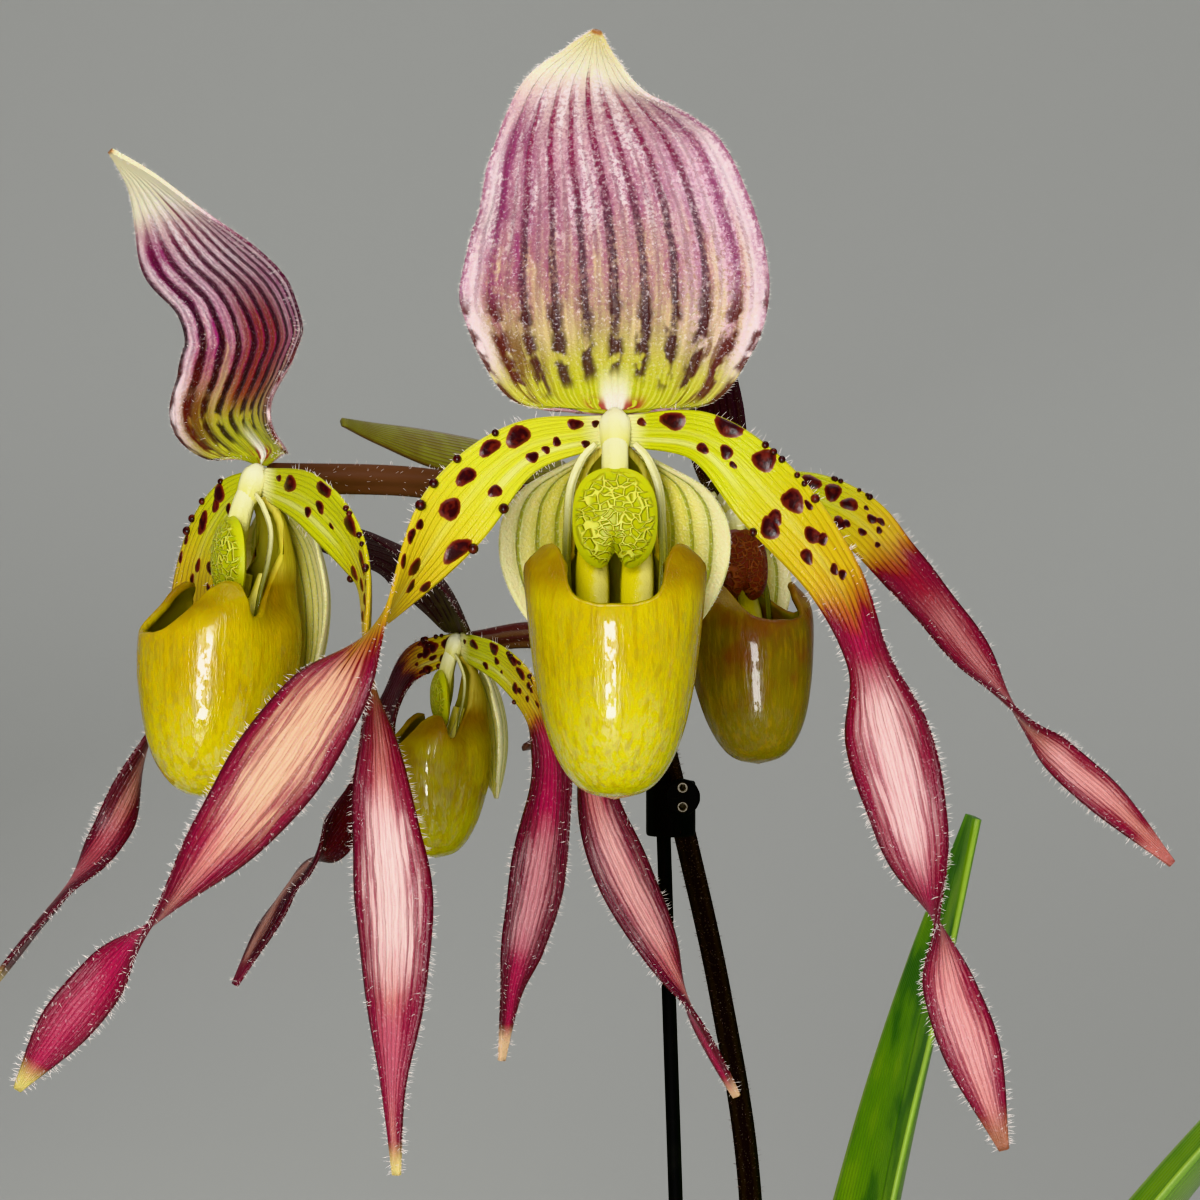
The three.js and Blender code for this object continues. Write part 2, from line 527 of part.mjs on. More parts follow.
/** The bark that fills the pot: tilted chips in relief, with a plain hole for each stem and the stake. */
function barkMedium() {
  const random = seededRandom(7);
  const radius = potInside(medium.level) - gap;
  const chips = Array.from({ length: medium.chips }, () => {
    const angle = 2 * Math.PI * random();
    const reach = radius * Math.sqrt(random());
    return {
      x: reach * Math.cos(angle), y: reach * Math.sin(angle), lift: medium.relief * random(),
      slopeX: 0.5 * (random() - 0.5), slopeY: 0.5 * (random() - 0.5),
    };
  });
  const levelAt = (x, y) => {
    const away = chip => Math.hypot(chip.x - x, chip.y - y);
    const nearest = chips.reduce((a, b) => (away(a) < away(b) ? a : b));
    return nearest.lift + nearest.slopeX * (x - nearest.x) + nearest.slopeY * (y - nearest.y);
  };
  const points = [new THREE.Vector3(0, 0, medium.level)];
  for (let ring = 1; ring <= medium.rings; ring++) {
    for (let k = 0; k < potSides; k++) {
      const angle = 2 * Math.PI * (k + 0.5 * (ring % 2)) / potSides;
      const reach = radius * ring / medium.rings;
      const [x, y] = [reach * Math.cos(angle), reach * Math.sin(angle)];
      const rise = ring === medium.rings ? -1 : levelAt(x, y) - medium.relief / 2;
      points.push(new THREE.Vector3(x, y, medium.level + rise));
    }
  }
  const foot = pot.floor + gap;
  for (let k = 0; k < potSides; k++) {
    const angle = 2 * Math.PI * (k + 0.5 * (medium.rings % 2)) / potSides;
    const reach = potInside(foot) - gap;
    points.push(new THREE.Vector3(reach * Math.cos(angle), reach * Math.sin(angle), foot));
  }
  points.push(new THREE.Vector3(0, 0, foot));
  const at = (ring, k) => 1 + (ring - 1) * potSides + (k % potSides);
  const triangles = [];
  for (let k = 0; k < potSides; k++) {
    triangles.push(0, at(1, k), at(1, k + 1));
    for (let ring = 1; ring <= medium.rings; ring++) {
      triangles.push(...cell(at(ring, k), at(ring + 1, k), at(ring + 1, k + 1), at(ring, k + 1)));
    }
    triangles.push(points.length - 1, at(medium.rings + 1, k + 1), at(medium.rings + 1, k));
  }
  const holes = [fanCrown(firstCrown, gap), fanCrown(secondCrown, gap), stakeRod(gap)];
  const plug = toSolid(solid(points, triangles));
  return fromSolid(holes.reduce((left, hole) => left.subtract(toSolid(hole)), plug));
}

/** A plain round pot with a band round its rim. */
function roundPot() {
  const { base, top, rim, rimDrop, height, floor } = pot;
  const profile = [
    [0, 0], [base - 1, 0], [base, 1], [top - 1.5, height - rimDrop], [rim, height - rimDrop + 1],
    [rim, height - 1], [rim - 1, height], [potInside(height), height], [potInside(floor), floor], [0, floor],
  ];
  const outline = profile.map(([radius, z]) => new THREE.Vector2(radius, z));
  const geometry = new THREE.LatheGeometry(outline, potSides);
  return geometry.rotateX(Math.PI / 2);
}

/** The straight rod that holds the flower stem up. */
function stakeRod(extra) {
  const route = [stake.foot, stake.head].map(end => [...end, stake.radius + extra]);
  route[0][2] -= extra;
  return stalk(route, { steps: 1, sides: 8, upright: forward });
}

/** The one-piece clip that ties the flower stem to the stake, with a thumb knob at its side. */
function stemClip() {
  const outline = new THREE.Shape();
  outline.absellipse(clip.x, clip.y, clip.halfWidth, clip.halfDepth, 0, 2 * Math.PI);
  const body = new THREE.ExtrudeGeometry(outline, {
    depth: clip.height, bevelEnabled: false, curveSegments: 8,
  });
  body.translate(0, 0, clip.low);
  const disc = new THREE.CylinderGeometry(knob.radius, knob.radius, knob.thick, 14);
  disc.translate(knob.x, knob.y, knob.z);
  const eyes = [-knob.eyes, knob.eyes].map(side => {
    const eye = new THREE.CylinderGeometry(knob.eyeRadius, knob.eyeRadius, 2 * knob.thick, 8);
    return eye.translate(knob.x, knob.y, knob.z + side);
  });
  const cuts = [flowerStem(gap), stakeRod(gap), ...eyes];
  const whole = toSolid(body).add(toSolid(disc));
  return fromSolid(cuts.reduce((left, cut) => left.subtract(toSolid(cut)), whole));
}

/** The flower stem, from the crown up to the last joint. */
function flowerStem(extra) {
  const route = stemRoute.map(([x, y, z, radius]) => [x, y, z, radius + extra]);
  return stalk(route, { steps: 30, sides: 8, upright: forward });
}

const group = new THREE.Group();
group.add(piece('pot', roundPot(), 'pot'));
group.add(piece('potting_bark', barkMedium(), 'bark'));
group.add(piece('stake', stakeRod(0), 'stake'));
group.add(piece('stem_clip', stemClip(), 'clip'));
group.add(piece('crown', fanCrown(firstCrown, 0), 'crown'));
group.add(piece('second_crown', fanCrown(secondCrown, 0), 'crown'));
group.add(piece('flower_stem', flowerStem(0), 'stem'));
leaves.forEach((sizes, i) => group.add(piece('leaf_' + (i + 1), leaf(sizes), 'leaf')));
for (const [name, sizes] of Object.entries(blooms)) {
  group.add(bloom(name, sizes));
}

export default group;
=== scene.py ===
"""Dresses a staked slipper orchid in flower: blooms, leaves, stem, stake, clip, bark and pot.

Lengths in this file are millimetres, as in the frame's own drawing, and become metres in Draft.build.
The origin is the centre of the pot's base, +Z is up and the first bloom faces -Y.
"""
import logging
import math
from abc import ABC, abstractmethod
from collections.abc import Callable
from dataclasses import dataclass, field
from enum import Enum
from functools import cache

import bmesh
import bpy
import numpy as np
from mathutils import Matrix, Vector


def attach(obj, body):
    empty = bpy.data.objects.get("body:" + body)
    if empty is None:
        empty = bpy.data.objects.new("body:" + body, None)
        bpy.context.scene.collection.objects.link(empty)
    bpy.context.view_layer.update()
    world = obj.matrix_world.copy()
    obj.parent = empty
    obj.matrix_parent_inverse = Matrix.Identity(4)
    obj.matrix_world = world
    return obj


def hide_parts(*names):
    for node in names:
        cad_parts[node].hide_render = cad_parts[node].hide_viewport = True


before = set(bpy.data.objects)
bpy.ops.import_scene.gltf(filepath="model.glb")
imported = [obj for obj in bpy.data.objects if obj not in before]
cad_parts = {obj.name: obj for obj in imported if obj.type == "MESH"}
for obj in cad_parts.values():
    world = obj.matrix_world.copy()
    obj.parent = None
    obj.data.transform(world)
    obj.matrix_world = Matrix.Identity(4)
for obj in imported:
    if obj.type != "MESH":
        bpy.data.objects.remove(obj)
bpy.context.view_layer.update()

log = logging.getLogger("orchid")
logging.basicConfig(level=logging.INFO, format="%(name)s: %(message)s")

Array = np.ndarray
Colour = tuple[float, float, float]
Point = tuple[float, float, float]

MM = 0.001
FORWARD = np.array([0.0, -1.0, 0.0])
UP = np.array([0.0, 0.0, 1.0])
COORDINATES = "Blade"
BACK_SHIFT = 2.0  # how far the coordinates of a back face are moved, so that a shader tells it apart


# ---------------------------------------------------------------------------------------- geometry


def unit(vectors: Array) -> Array:
    """Returns the vectors at length 1."""
    return vectors / np.maximum(np.linalg.norm(vectors, axis=-1, keepdims=True), 1e-12)


def smooth(rows: Array, t: Array) -> Array:
    """Reads the smooth curve through all the rows.

    Args:
        rows: One row of numbers for each station.
        t: Places along the curve, from 0 to 1, of any shape.

    Returns:
        The rows at those places, with the row's numbers as the last axis.
    """
    last = len(rows) - 1
    padded = np.vstack([2 * rows[:1] - rows[1:2], rows, 2 * rows[-1:] - rows[-2:-1]])
    place = np.clip(t, 0, 1) * last
    index = np.minimum(place.astype(int), last - 1)
    f = (place - index)[..., None]
    a, b, c, d = (padded[index + k] for k in range(4))
    rise, fall = (c - a) / 2, (d - b) / 2
    return b + rise * f + (-3 * b + 3 * c - 2 * rise - fall) * f**2 + (2 * b - 2 * c + rise + fall) * f**3


def tangents(stations: Array, t: Array) -> Array:
    """Returns the curve's directions, of length 1, at places along it."""
    return unit(smooth(stations, t + 0.01)[..., :3] - smooth(stations, t - 0.01)[..., :3])


def closed(rows: Array) -> Array:
    """Returns rows that run round a piece with their first column once more at the end."""
    return np.concatenate([rows, rows[:, :1]], axis=1)


@dataclass(frozen=True)
class Pose:
    """A place, a turn and a size for pieces drawn in a frame of their own."""

    turn: Array = field(default_factory=lambda: np.eye(3))
    place: Array = field(default_factory=lambda: np.zeros(3))
    size: Array = field(default_factory=lambda: np.ones(3))

    def apply(self, points: Array) -> Array:
        """Returns the points in the outer frame."""
        return (points * self.size) @ self.turn.T + self.place

    def then(self, outer: "Pose") -> "Placed":
        """Returns this pose carried by an outer one."""
        return Placed(self, outer)


@dataclass(frozen=True)
class Placed:
    """A pose inside another pose."""

    inner: Pose
    outer: Pose

    def apply(self, points: Array) -> Array:
        """Returns the points in the outermost frame."""
        return self.outer.apply(self.inner.apply(points))


def turned(axis: str, degrees: float) -> Array:
    """Works out a turn about one axis.

    Args:
        axis: Its letter.
        degrees: The angle, right-handed.

    Returns:
        The matrix.
    """
    c, s = math.cos(math.radians(degrees)), math.sin(math.radians(degrees))
    if axis == "x":
        return np.array([[1, 0, 0], [0, c, -s], [0, s, c]])
    if axis == "y":
        return np.array([[c, 0, s], [0, 1, 0], [-s, 0, c]])
    return np.array([[c, -s, 0], [s, c, 0], [0, 0, 1]])


@dataclass(frozen=True)
class Blade:
    """A grown blade: stations of x, y, z, half width, turn in degrees and cup, seen from facing."""

    stations: Array
    facing: Array
    thickness: float
    wave: float = 0.0
    waves: float = 0.0
    edge: float = 0.45

    def surface(self, u: Array, v: Array) -> Array:
        """Places points on the middle surface.

        Args:
            u: Places along the blade, from 0 to 1.
            v: Places across it, from -1 to 1, of the same shape.

        Returns:
            The points.
        """
        rows = smooth(self.stations, u)
        tangent = tangents(self.stations, u)
        normal = unit(self.facing - (tangent @ self.facing)[..., None] * tangent)
        angle = np.radians(rows[..., 4:5])
        normal = normal * np.cos(angle) + np.cross(tangent, normal) * np.sin(angle)
        side = np.cross(normal, tangent)
        ripple = self.wave * np.sin(2 * np.pi * self.waves * u + v) * np.sin(np.pi * u)
        lift = (rows[..., 5] + ripple) * v**2
        return rows[..., :3] + side * (rows[..., 3] * v)[..., None] + normal * lift[..., None]

    def slopes(self, u: Array, v: Array) -> tuple[Array, Array, Array]:
        """Works out the skin's directions.

        Args:
            u: Places along the blade.
            v: Places across it.

        Returns:
            The direction along, the direction across and the front normal, all of length 1.
        """
        low, high = np.maximum(u - 0.01, 0), np.minimum(u + 0.01, 1)
        along = self.surface(high, v) - self.surface(low, v)
        across = self.surface(u, v + 0.05) - self.surface(u, v - 0.05)
        return unit(along), unit(across), unit(np.cross(along, across))

    def skin(self, u: Array, v: Array, lift: float = 0.0) -> Array:
        """Places points on the front skin.

        Args:
            u: Places along the blade.
            v: Places across it.
            lift: How far off the skin they stand.

        Returns:
            The points.
        """
        _, _, normal = self.slopes(u, v)
        half = self.thickness / 2 * (self.edge + (1 - self.edge) * (1 - v**8))
        return self.surface(u, v) + normal * (half + lift)[..., None]

    def under(self, u: Array, v: Array) -> Array:
        """Places points on the back skin.

        Args:
            u: Places along the blade.
            v: Places across it.

        Returns:
            The points.
        """
        _, _, normal = self.slopes(u, v)
        half = self.thickness / 2 * (self.edge + (1 - self.edge) * (1 - v**8))
        return self.surface(u, v) - normal * half[..., None]


def add_object(name: str, data: bpy.types.ID) -> bpy.types.Object:
    """Makes an object and puts it into the scene.

    Args:
        name: Its name.
        data: Its mesh, light or camera.

    Returns:
        The object.
    """
    made = bpy.data.objects.new(name, data)
    bpy.context.scene.collection.objects.link(made)
    return made


class Draft:
    """Collects the points, faces and face corners' coordinates of one piece."""

    def __init__(self) -> None:
        """Starts empty."""
        self.points: list[Array] = []
        self.count = 0
        self.faces: list[tuple[int, ...]] = []
        self.corners: list[Array] = []
        self.slots: list[int] = []

    def add_points(self, points: Array) -> Array:
        """Adds points.

        Args:
            points: The points, in any shape of rows.

        Returns:
            Their numbers, in the same shape.
        """
        flat = points.reshape(-1, 3)
        numbers = np.arange(self.count, self.count + len(flat)).reshape(points.shape[:-1])
        self.points.append(flat)
        self.count += len(flat)
        return numbers

    def add_grid(self, numbers: Array, coords: Array, slot: int = 0) -> None:
        """Adds the four-sided faces of a grid.

        Args:
            numbers: The points' numbers, rows by columns.
            coords: Two coordinates for each of them.
            slot: The material slot of the faces.
        """
        ring = [np.s_[:-1, :-1], np.s_[1:, :-1], np.s_[1:, 1:], np.s_[:-1, 1:]]
        faces = np.stack([numbers[part] for part in ring], axis=-1).reshape(-1, 4)
        corners = np.stack([coords[part] for part in ring], axis=-2).reshape(-1, 2)
        self.faces.extend(map(tuple, faces.tolist()))
        self.corners.append(corners)
        self.slots.extend([slot] * len(faces))

    def add_face(self, numbers: Array, coords: Array, slot: int = 0) -> None:
        """Adds one face.

        Args:
            numbers: Its points' numbers, in order.
            coords: Its corners' coordinates.
            slot: Its material slot.
        """
        self.faces.append(tuple(int(n) for n in numbers))
        self.corners.append(coords)
        self.slots.append(slot)

    def add_blade(self, blade: Blade, pose: Pose | Placed, along: int, across: int, slot: int = 0) -> None:
        """Adds both skins of a blade and the rim that joins them.

        Args:
            blade: Its shape.
            pose: Where it is.
            along: The steps along it.
            across: The steps across it.
            slot: The material slot of its faces.
        """
        u, v = np.meshgrid(np.linspace(0, 1, along + 1), np.linspace(-1, 1, across + 1), indexing="ij")
        front = self.add_points(pose.apply(blade.skin(u, v)))
        back = self.add_points(pose.apply(blade.under(u, v)))
        coords = np.stack([(v + 1) / 2, u], axis=-1)
        self.add_grid(front, coords, slot)
        self.add_grid(back[:, ::-1], coords[:, ::-1] + np.array([BACK_SHIFT, 0]), slot)
        for edge in (0, across):
            pair = np.stack([front[:, edge], back[:, edge]][:: 1 if edge else -1], axis=1)
            self.add_grid(pair, np.stack([coords[:, edge]] * 2, axis=1), slot)
        for end in (0, along):
            pair = np.stack([front[end], back[end]][:: -1 if end else 1], axis=1)
            self.add_grid(pair, np.stack([coords[end]] * 2, axis=1), slot)

    def add_stalk(self, rings: Array, coords: Array | None = None) -> None:
        """Adds a closed tube.

        Args:
            rings: Rows of ring points, stations by points round.
            coords: Coordinates with one more column than the rings; round and along the tube if left out.
        """
        if coords is None:
            steps, sides = rings.shape[0] - 1, rings.shape[1]
            along, around = np.meshgrid(
                np.linspace(0, 1, steps + 1), np.linspace(0, 1, sides + 1), indexing="ij",
            )
            coords = np.stack([around, along], axis=-1)
        numbers = self.add_points(rings)
        self.add_grid(closed(numbers), coords)
        self.add_face(numbers[0], coords[0, :-1])
        self.add_face(numbers[-1][::-1], coords[-1, :-1][::-1])

    def build(self, name: str, finishes: list[bpy.types.Material]) -> bpy.types.Object:
        """Makes the object, in metres, with smooth shading.

        Args:
            name: The piece's name.
            finishes: One material for each slot.

        Returns:
            The new object, linked to the scene.
        """
        mesh = bpy.data.meshes.new(name)
        points = np.concatenate(self.points) * MM
        mesh.from_pydata(points.tolist(), [], self.faces)
        layer = mesh.uv_layers.new(name=COORDINATES)
        layer.data.foreach_set("uv", np.concatenate(self.corners).astype(np.float32).ravel())
        mesh.polygons.foreach_set("material_index", np.array(self.slots, dtype=np.int32))
        mesh.shade_smooth()
        for finish in finishes:
            mesh.materials.append(finish)
        mesh.update()
        return add_object(name, mesh)


def tube_rings(
    stations: Array, steps: int, sides: int, upright: Array, ribs: int = 0, rib: float = 0.0,
) -> Array:
    """Makes the rings of a round stalk.

    Args:
        stations: Rows of x, y, z and radius.
        steps: Steps along it.
        sides: Points round it.
        upright: A direction that the stalk never runs along.
        ribs: How many ridges run along it.
        rib: How far each ridge stands out, as a share of the radius.

    Returns:
        The ring points, steps + 1 by sides.
    """
    t = np.linspace(0, 1, steps + 1)
    rows = smooth(stations, t)
    tangent = tangents(stations, t)
    side = unit(np.cross(tangent, upright))
    up = np.cross(side, tangent)
    angle = np.linspace(0, 2 * np.pi, sides, endpoint=False)
    share = 1 - rib * (0.5 - 0.5 * np.cos(ribs * angle))
    reach = rows[:, 3:4] * share[None, :]
    return (
        rows[:, None, :3]
        + side[:, None, :] * (reach * np.cos(angle))[..., None]
        + up[:, None, :] * (reach * np.sin(angle))[..., None]
    )


def keep(piece: bpy.types.Object, node: str | None = None) -> None:
    """Declares a piece to the frame.

    Args:
        piece: The object.
        node: The frame's node that it stands for, if any.
    """
    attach(piece, "root")
    if node:
        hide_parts(node)
    log.info("%s: %d faces", piece.name, len(piece.data.polygons))


def keep_skin(draft: Draft, node: str, slot: str, *finishes: "Finish") -> None:
    """Builds the finer skin that stands for one of the frame's nodes.

    Args:
        draft: The drawn skin.
        node: The node's name.
        slot: A material slot's name; not used.
        *finishes: One finish for each slot of the draft.
    """
    keep(draft.build(node + "_skin", [finish.material() for finish in finishes]), node)


def keep_blade(
    node: str, slot: str, blade: Blade, pose: Pose | Placed, steps: tuple[int, int], finish: "Finish",
) -> None:
    """Builds a blade's skin.

    Args:
        node: The frame's node that it stands for.
        slot: Its material slot.
        blade: Its shape.
        pose: Where it is.
        steps: The steps along and across it.
        finish: Its finish.
    """
    draft = Draft()
    draft.add_blade(blade, pose, *steps)
    keep_skin(draft, node, slot, finish)


def keep_stalk(node: str, slot: str, rings: Array, finish: "Finish") -> None:
    """Builds a stalk's skin.

    Args:
        node: The frame's node that it stands for.
        slot: Its material slot.
        rings: Its ring points.
        finish: Its finish.
    """
    draft = Draft()
    draft.add_stalk(rings)
    keep_skin(draft, node, slot, finish)


# ----------------------------------------------------------------------------------------- shaders


class Value:
    """A number, colour or direction that a node puts out; the usual signs add nodes for sums."""

    def __init__(self, wiring: "Wiring", socket: bpy.types.NodeSocket) -> None:
        """Keeps the tree's wiring and the socket."""
        self.wiring = wiring
        self.socket = socket

    @staticmethod
    def _sign(operation: str, swapped: bool = False) -> "Callable[[Value, Number], Value]":
        """Makes the method behind a sign, with its two sides swapped or not.

        Args:
            operation: The Math node's operation.
            swapped: Whether the other side comes first.

        Returns:
            The method.
        """

        def work(self: "Value", other: "Number") -> "Value":
            """Adds the node of one sum."""
            pair = (other, self) if swapped else (self, other)
            return self.wiring.math(operation, *pair)

        return work

    __add__, __radd__ = _sign("ADD"), _sign("ADD", swapped=True)
    __sub__, __rsub__ = _sign("SUBTRACT"), _sign("SUBTRACT", swapped=True)
    __mul__, __rmul__ = _sign("MULTIPLY"), _sign("MULTIPLY", swapped=True)
    __truediv__, __rtruediv__ = _sign("DIVIDE"), _sign("DIVIDE", swapped=True)
    __pow__ = _sign("POWER")

    def __abs__(self) -> "Value":
        """Returns the value without its sign."""
        return self.wiring.math("ABSOLUTE", self)


Number = Value | float
Tint = Value | Colour
Inputs = dict[str | int, Number | tuple]


class Wiring:
    """Places and links the nodes of one node tree."""

    def __init__(self, tree: bpy.types.NodeTree) -> None:
        """Keeps the tree."""
        self.tree = tree

    def put(self, socket: bpy.types.NodeSocket, value: Number | tuple) -> None:
        """Links a socket to a value, or sets it.

        Args:
            socket: The input.
            value: A value to link, or a constant.
        """
        if isinstance(value, Value):
            self.tree.links.new(value.socket, socket)
        elif isinstance(value, tuple) and len(value) == 3 and socket.type == "RGBA":
            socket.default_value = (*value, 1.0)
        else:
            socket.default_value = value

    def set(self, made: bpy.types.Node, **values: Number | tuple) -> None:
        """Sets or links a node's inputs, by their names with _ for a space."""
        for key, value in values.items():
            self.put(made.inputs[key.replace("_", " ")], value)

    def node(self, kind: str, inputs: Inputs | None = None, **settings) -> bpy.types.Node:
        """Adds a node.

        Args:
            kind: The node's type.
            inputs: Values or links for its inputs, by name or number.
            **settings: Its properties.

        Returns:
            The node.
        """
        made = self.tree.nodes.new(kind)
        for key, value in settings.items():
            setattr(made, key, value)
        for key, value in (inputs or {}).items():
            self.put(made.inputs[key], value)
        return made

    def read(self, output: int | str, kind: str, inputs: Inputs | None = None, **settings) -> Value:
        """Adds a node as node() does, and returns one of its outputs."""
        return Value(self, self.node(kind, inputs, **settings).outputs[output])

    def math(self, operation: str, a: Number, b: Number = 0.0, clamp: bool = False) -> Value:
        """Adds a sum of one or two numbers and returns its result."""
        return self.read(0, "ShaderNodeMath", {0: a, 1: b}, operation=operation, use_clamp=clamp)

    def ease(self, value: Value, low: float, high: float) -> Value:
        """Returns 0 below low, 1 above high and a smooth step between them."""
        inputs = {"Value": value, "From Min": low, "From Max": high}
        return self.read(0, "ShaderNodeMapRange", inputs, interpolation_type="SMOOTHSTEP")

    def fade(self, value: Value, low: float, high: float) -> Value:
        """Returns 1 below low, 0 above high and a smooth step between them."""
        return 1 - self.ease(value, low, high)

    def band(self, value: Value, low: float, full: float, until: float, high: float) -> Value:
        """Returns a mask that rises from low to full and falls from until to high."""
        return self.ease(value, low, full) * self.fade(value, until, high)

    def blend(self, share: Number, a: Tint, b: Tint) -> Value:
        """Returns colour a where the share is 0 and colour b where it is 1."""
        inputs = {0: share, 6: a, 7: b}
        return self.read(2, "ShaderNodeMix", inputs, data_type="RGBA", clamp_factor=True)

    def ramp(self, value: Value, stops: list[tuple[float, Colour]]) -> Value:
        """Returns a colour that runs through the stops as the value goes from 0 to 1.

        Args:
            value: Where on the ramp.
            stops: Places and their colours, in order.

        Returns:
            The colour.
        """
        made = self.node("ShaderNodeValToRGB", {0: value})
        elements = made.color_ramp.elements
        for place, _ in stops[2:]:
            elements.new(place)
        for element, (place, colour) in zip(elements, stops):
            element.position = place
            element.color = (*colour, 1.0)
        return Value(self, made.outputs[0])

    def vector(self, x: Number, y: Number, z: Number = 0.0) -> Value:
        """Returns a vector from three numbers."""
        return self.read(0, "ShaderNodeCombineXYZ", {0: x, 1: y, 2: z})

    def noise(self, where: Value, scale: Number, detail: float = 2.0, rough: float = 0.5) -> Value:
        """Returns cloudy noise at a scale."""
        inputs = {"Vector": where, "Scale": scale, "Detail": detail, "Roughness": rough}
        return self.read(0, "ShaderNodeTexNoise", inputs)

    def place(self) -> Value:
        """Returns the point's own place on the piece, in millimetres."""
        return self.scaled(self.read("Object", "ShaderNodeTexCoord"), (1.0 / MM, 1.0 / MM, 1.0 / MM))

    def scaled(self, where: Value, by: Point) -> Value:
        """Returns a place scaled along its three axes."""
        return self.read(0, "ShaderNodeVectorMath", {0: where, 1: by}, operation="MULTIPLY")

    def bump(self, height: Value, strength: float, distance: float) -> Value:
        """Turns a height into relief.

        Args:
            height: The height, from 0 to 1.
            strength: The node's strength.
            distance: The depth in millimetres.

        Returns:
            The normal.
        """
        return self.read(
            0, "ShaderNodeBump", {"Height": height, "Strength": strength, "Distance": distance * MM},
        )

    def use(self, group: bpy.types.NodeTree, inputs: Inputs | None = None) -> dict[str, Value]:
        """Places a node group.

        Args:
            group: The group.
            inputs: Values or constants for its inputs, by name.

        Returns:
            Its outputs by name.
        """
        made = self.node("ShaderNodeGroup", node_tree=group)
        for key, value in (inputs or {}).items():
            self.put(made.inputs[key], value)
        return {socket.name: Value(self, socket) for socket in made.outputs}

    def blade(self) -> dict[str, Value]:
        """Returns the place on the blade as Across, Along, Back and Rim."""
        return self.use(Effects.blade_place())

    def grains(self, size: float, sparse: float) -> dict[str, Value]:
        """Returns the grain as a mask of pale painted glints and a height for a bump; the grains are size
        millimetres apart.
        """
        return self.use(Effects.grains(), {"Grain": size, "Sparse": sparse})

    def lines(
        self, at: dict[str, Value], spacing: float, width: Number, waver: float, stretch: float = 3.0,
    ) -> Value:
        """Returns a mask of wavering lines along a blade.

        Args:
            at: What the blade place group puts out.
            spacing: From one line to the next, in half widths of the blade.
            width: A line's width as a share of the spacing.
            waver: How far the lines stray.
            stretch: How often they stray along the blade.
        """
        given = {"Spacing": spacing, "Width": width, "Waver": waver, "Stretch": stretch}
        return self.use(Effects.lines(), {"Across": at["Across"], "Along": at["Along"], **given})["Mask"]


class Effects:
    """The shared node groups, each made once."""

    @staticmethod
    def _start(
        name: str, inputs: dict[str, float], outputs: list[str],
    ) -> tuple[Wiring, dict[str, Value], bpy.types.Node]:
        """Makes an empty group with number sockets.

        Args:
            name: The group's name.
            inputs: Its inputs and their usual values.
            outputs: Its outputs.

        Returns:
            The group's wiring, its inputs by name and its output node.
        """
        tree = bpy.data.node_groups.new(name, "ShaderNodeTree")
        for key, value in inputs.items():
            socket = tree.interface.new_socket(key, in_out="INPUT", socket_type="NodeSocketFloat")
            socket.default_value = value
        for key in outputs:
            tree.interface.new_socket(key, in_out="OUTPUT", socket_type="NodeSocketFloat")
        w = Wiring(tree)
        given = {socket.name: Value(w, socket) for socket in w.node("NodeGroupInput").outputs}
        return w, given, w.node("NodeGroupOutput")

    @staticmethod
    @cache
    def blade_place() -> bpy.types.NodeTree:
        """Makes the group that tells where on a blade a point is.

        Returns:
            The group, with Across from -1 to 1, Along from 0 to 1, Back as 0 or 1, and Rim.
        """
        w, _, out = Effects._start("blade place", {}, ["Across", "Along", "Back", "Rim"])
        where = w.read(0, "ShaderNodeUVMap", uv_map=COORDINATES)
        parts = w.node("ShaderNodeSeparateXYZ", {0: where})
        x, along = Value(w, parts.outputs[0]), Value(w, parts.outputs[1])
        back = w.math("GREATER_THAN", x, BACK_SHIFT - 0.5)
        across = (x - back * BACK_SHIFT) * 2.0 - 1.0
        w.set(out, Across=across, Along=along, Back=back, Rim=abs(across))
        return w.tree

    @staticmethod
    @cache
    def lines() -> bpy.types.NodeTree:
        """Makes the group that draws wavering lines along a blade.

        Returns:
            The group, with the lines as a Mask.
        """
        usual = {"Across": 0.0, "Along": 0.0, "Spacing": 0.2, "Width": 0.2, "Waver": 0.02, "Stretch": 3.0}
        w, given, out = Effects._start("lines", usual, ["Mask"])
        where = w.vector(given["Across"] * 4.0, given["Along"] * given["Stretch"])
        stray = w.noise(where, 2.0, 3.0) - 0.5
        moved = given["Across"] + stray * (given["Waver"] * 4.0)
        off = abs(w.math("FRACT", moved / given["Spacing"] + 0.5) - 0.5)
        w.set(out, Mask=w.fade(off / given["Width"], 0.35, 1.0))
        return w.tree

    @staticmethod
    @cache
    def grains() -> bpy.types.NodeTree:
        """Makes the group for a fine grain: painted glints and a relief.

        Returns:
            The group, with a mask of painted glints and Height for a bump.
        """
        w, given, out = Effects._start("grains", {"Grain": 0.35, "Sparse": 0.6}, ["Flecks", "Height"])
        fine = w.noise(w.place(), 1.0 / given["Grain"])
        w.set(out, Flecks=w.math("MULTIPLY", fine - given["Sparse"], 6.0, clamp=True), Height=fine)
        return w.tree


class Finish(ABC):
    """A surface finish that makes its own material."""

    name: str

    @abstractmethod
    def paint(self, w: Wiring, shader: bpy.types.Node) -> None:
        """Wires the colour, roughness and relief.

        Args:
            w: The material's wiring.
            shader: Its Principled shader.
        """

    def material(self) -> bpy.types.Material:
        """Makes the material once.

        Returns:
            The material, or the one made before.
        """
        made = bpy.data.materials.get(self.name)
        if made:
            return made
        made = bpy.data.materials.new(self.name)
        made.use_nodes = True
        tree = made.node_tree
        shader = next(n for n in tree.nodes if n.type == "BSDF_PRINCIPLED")
        self.paint(Wiring(tree), shader)
        return made


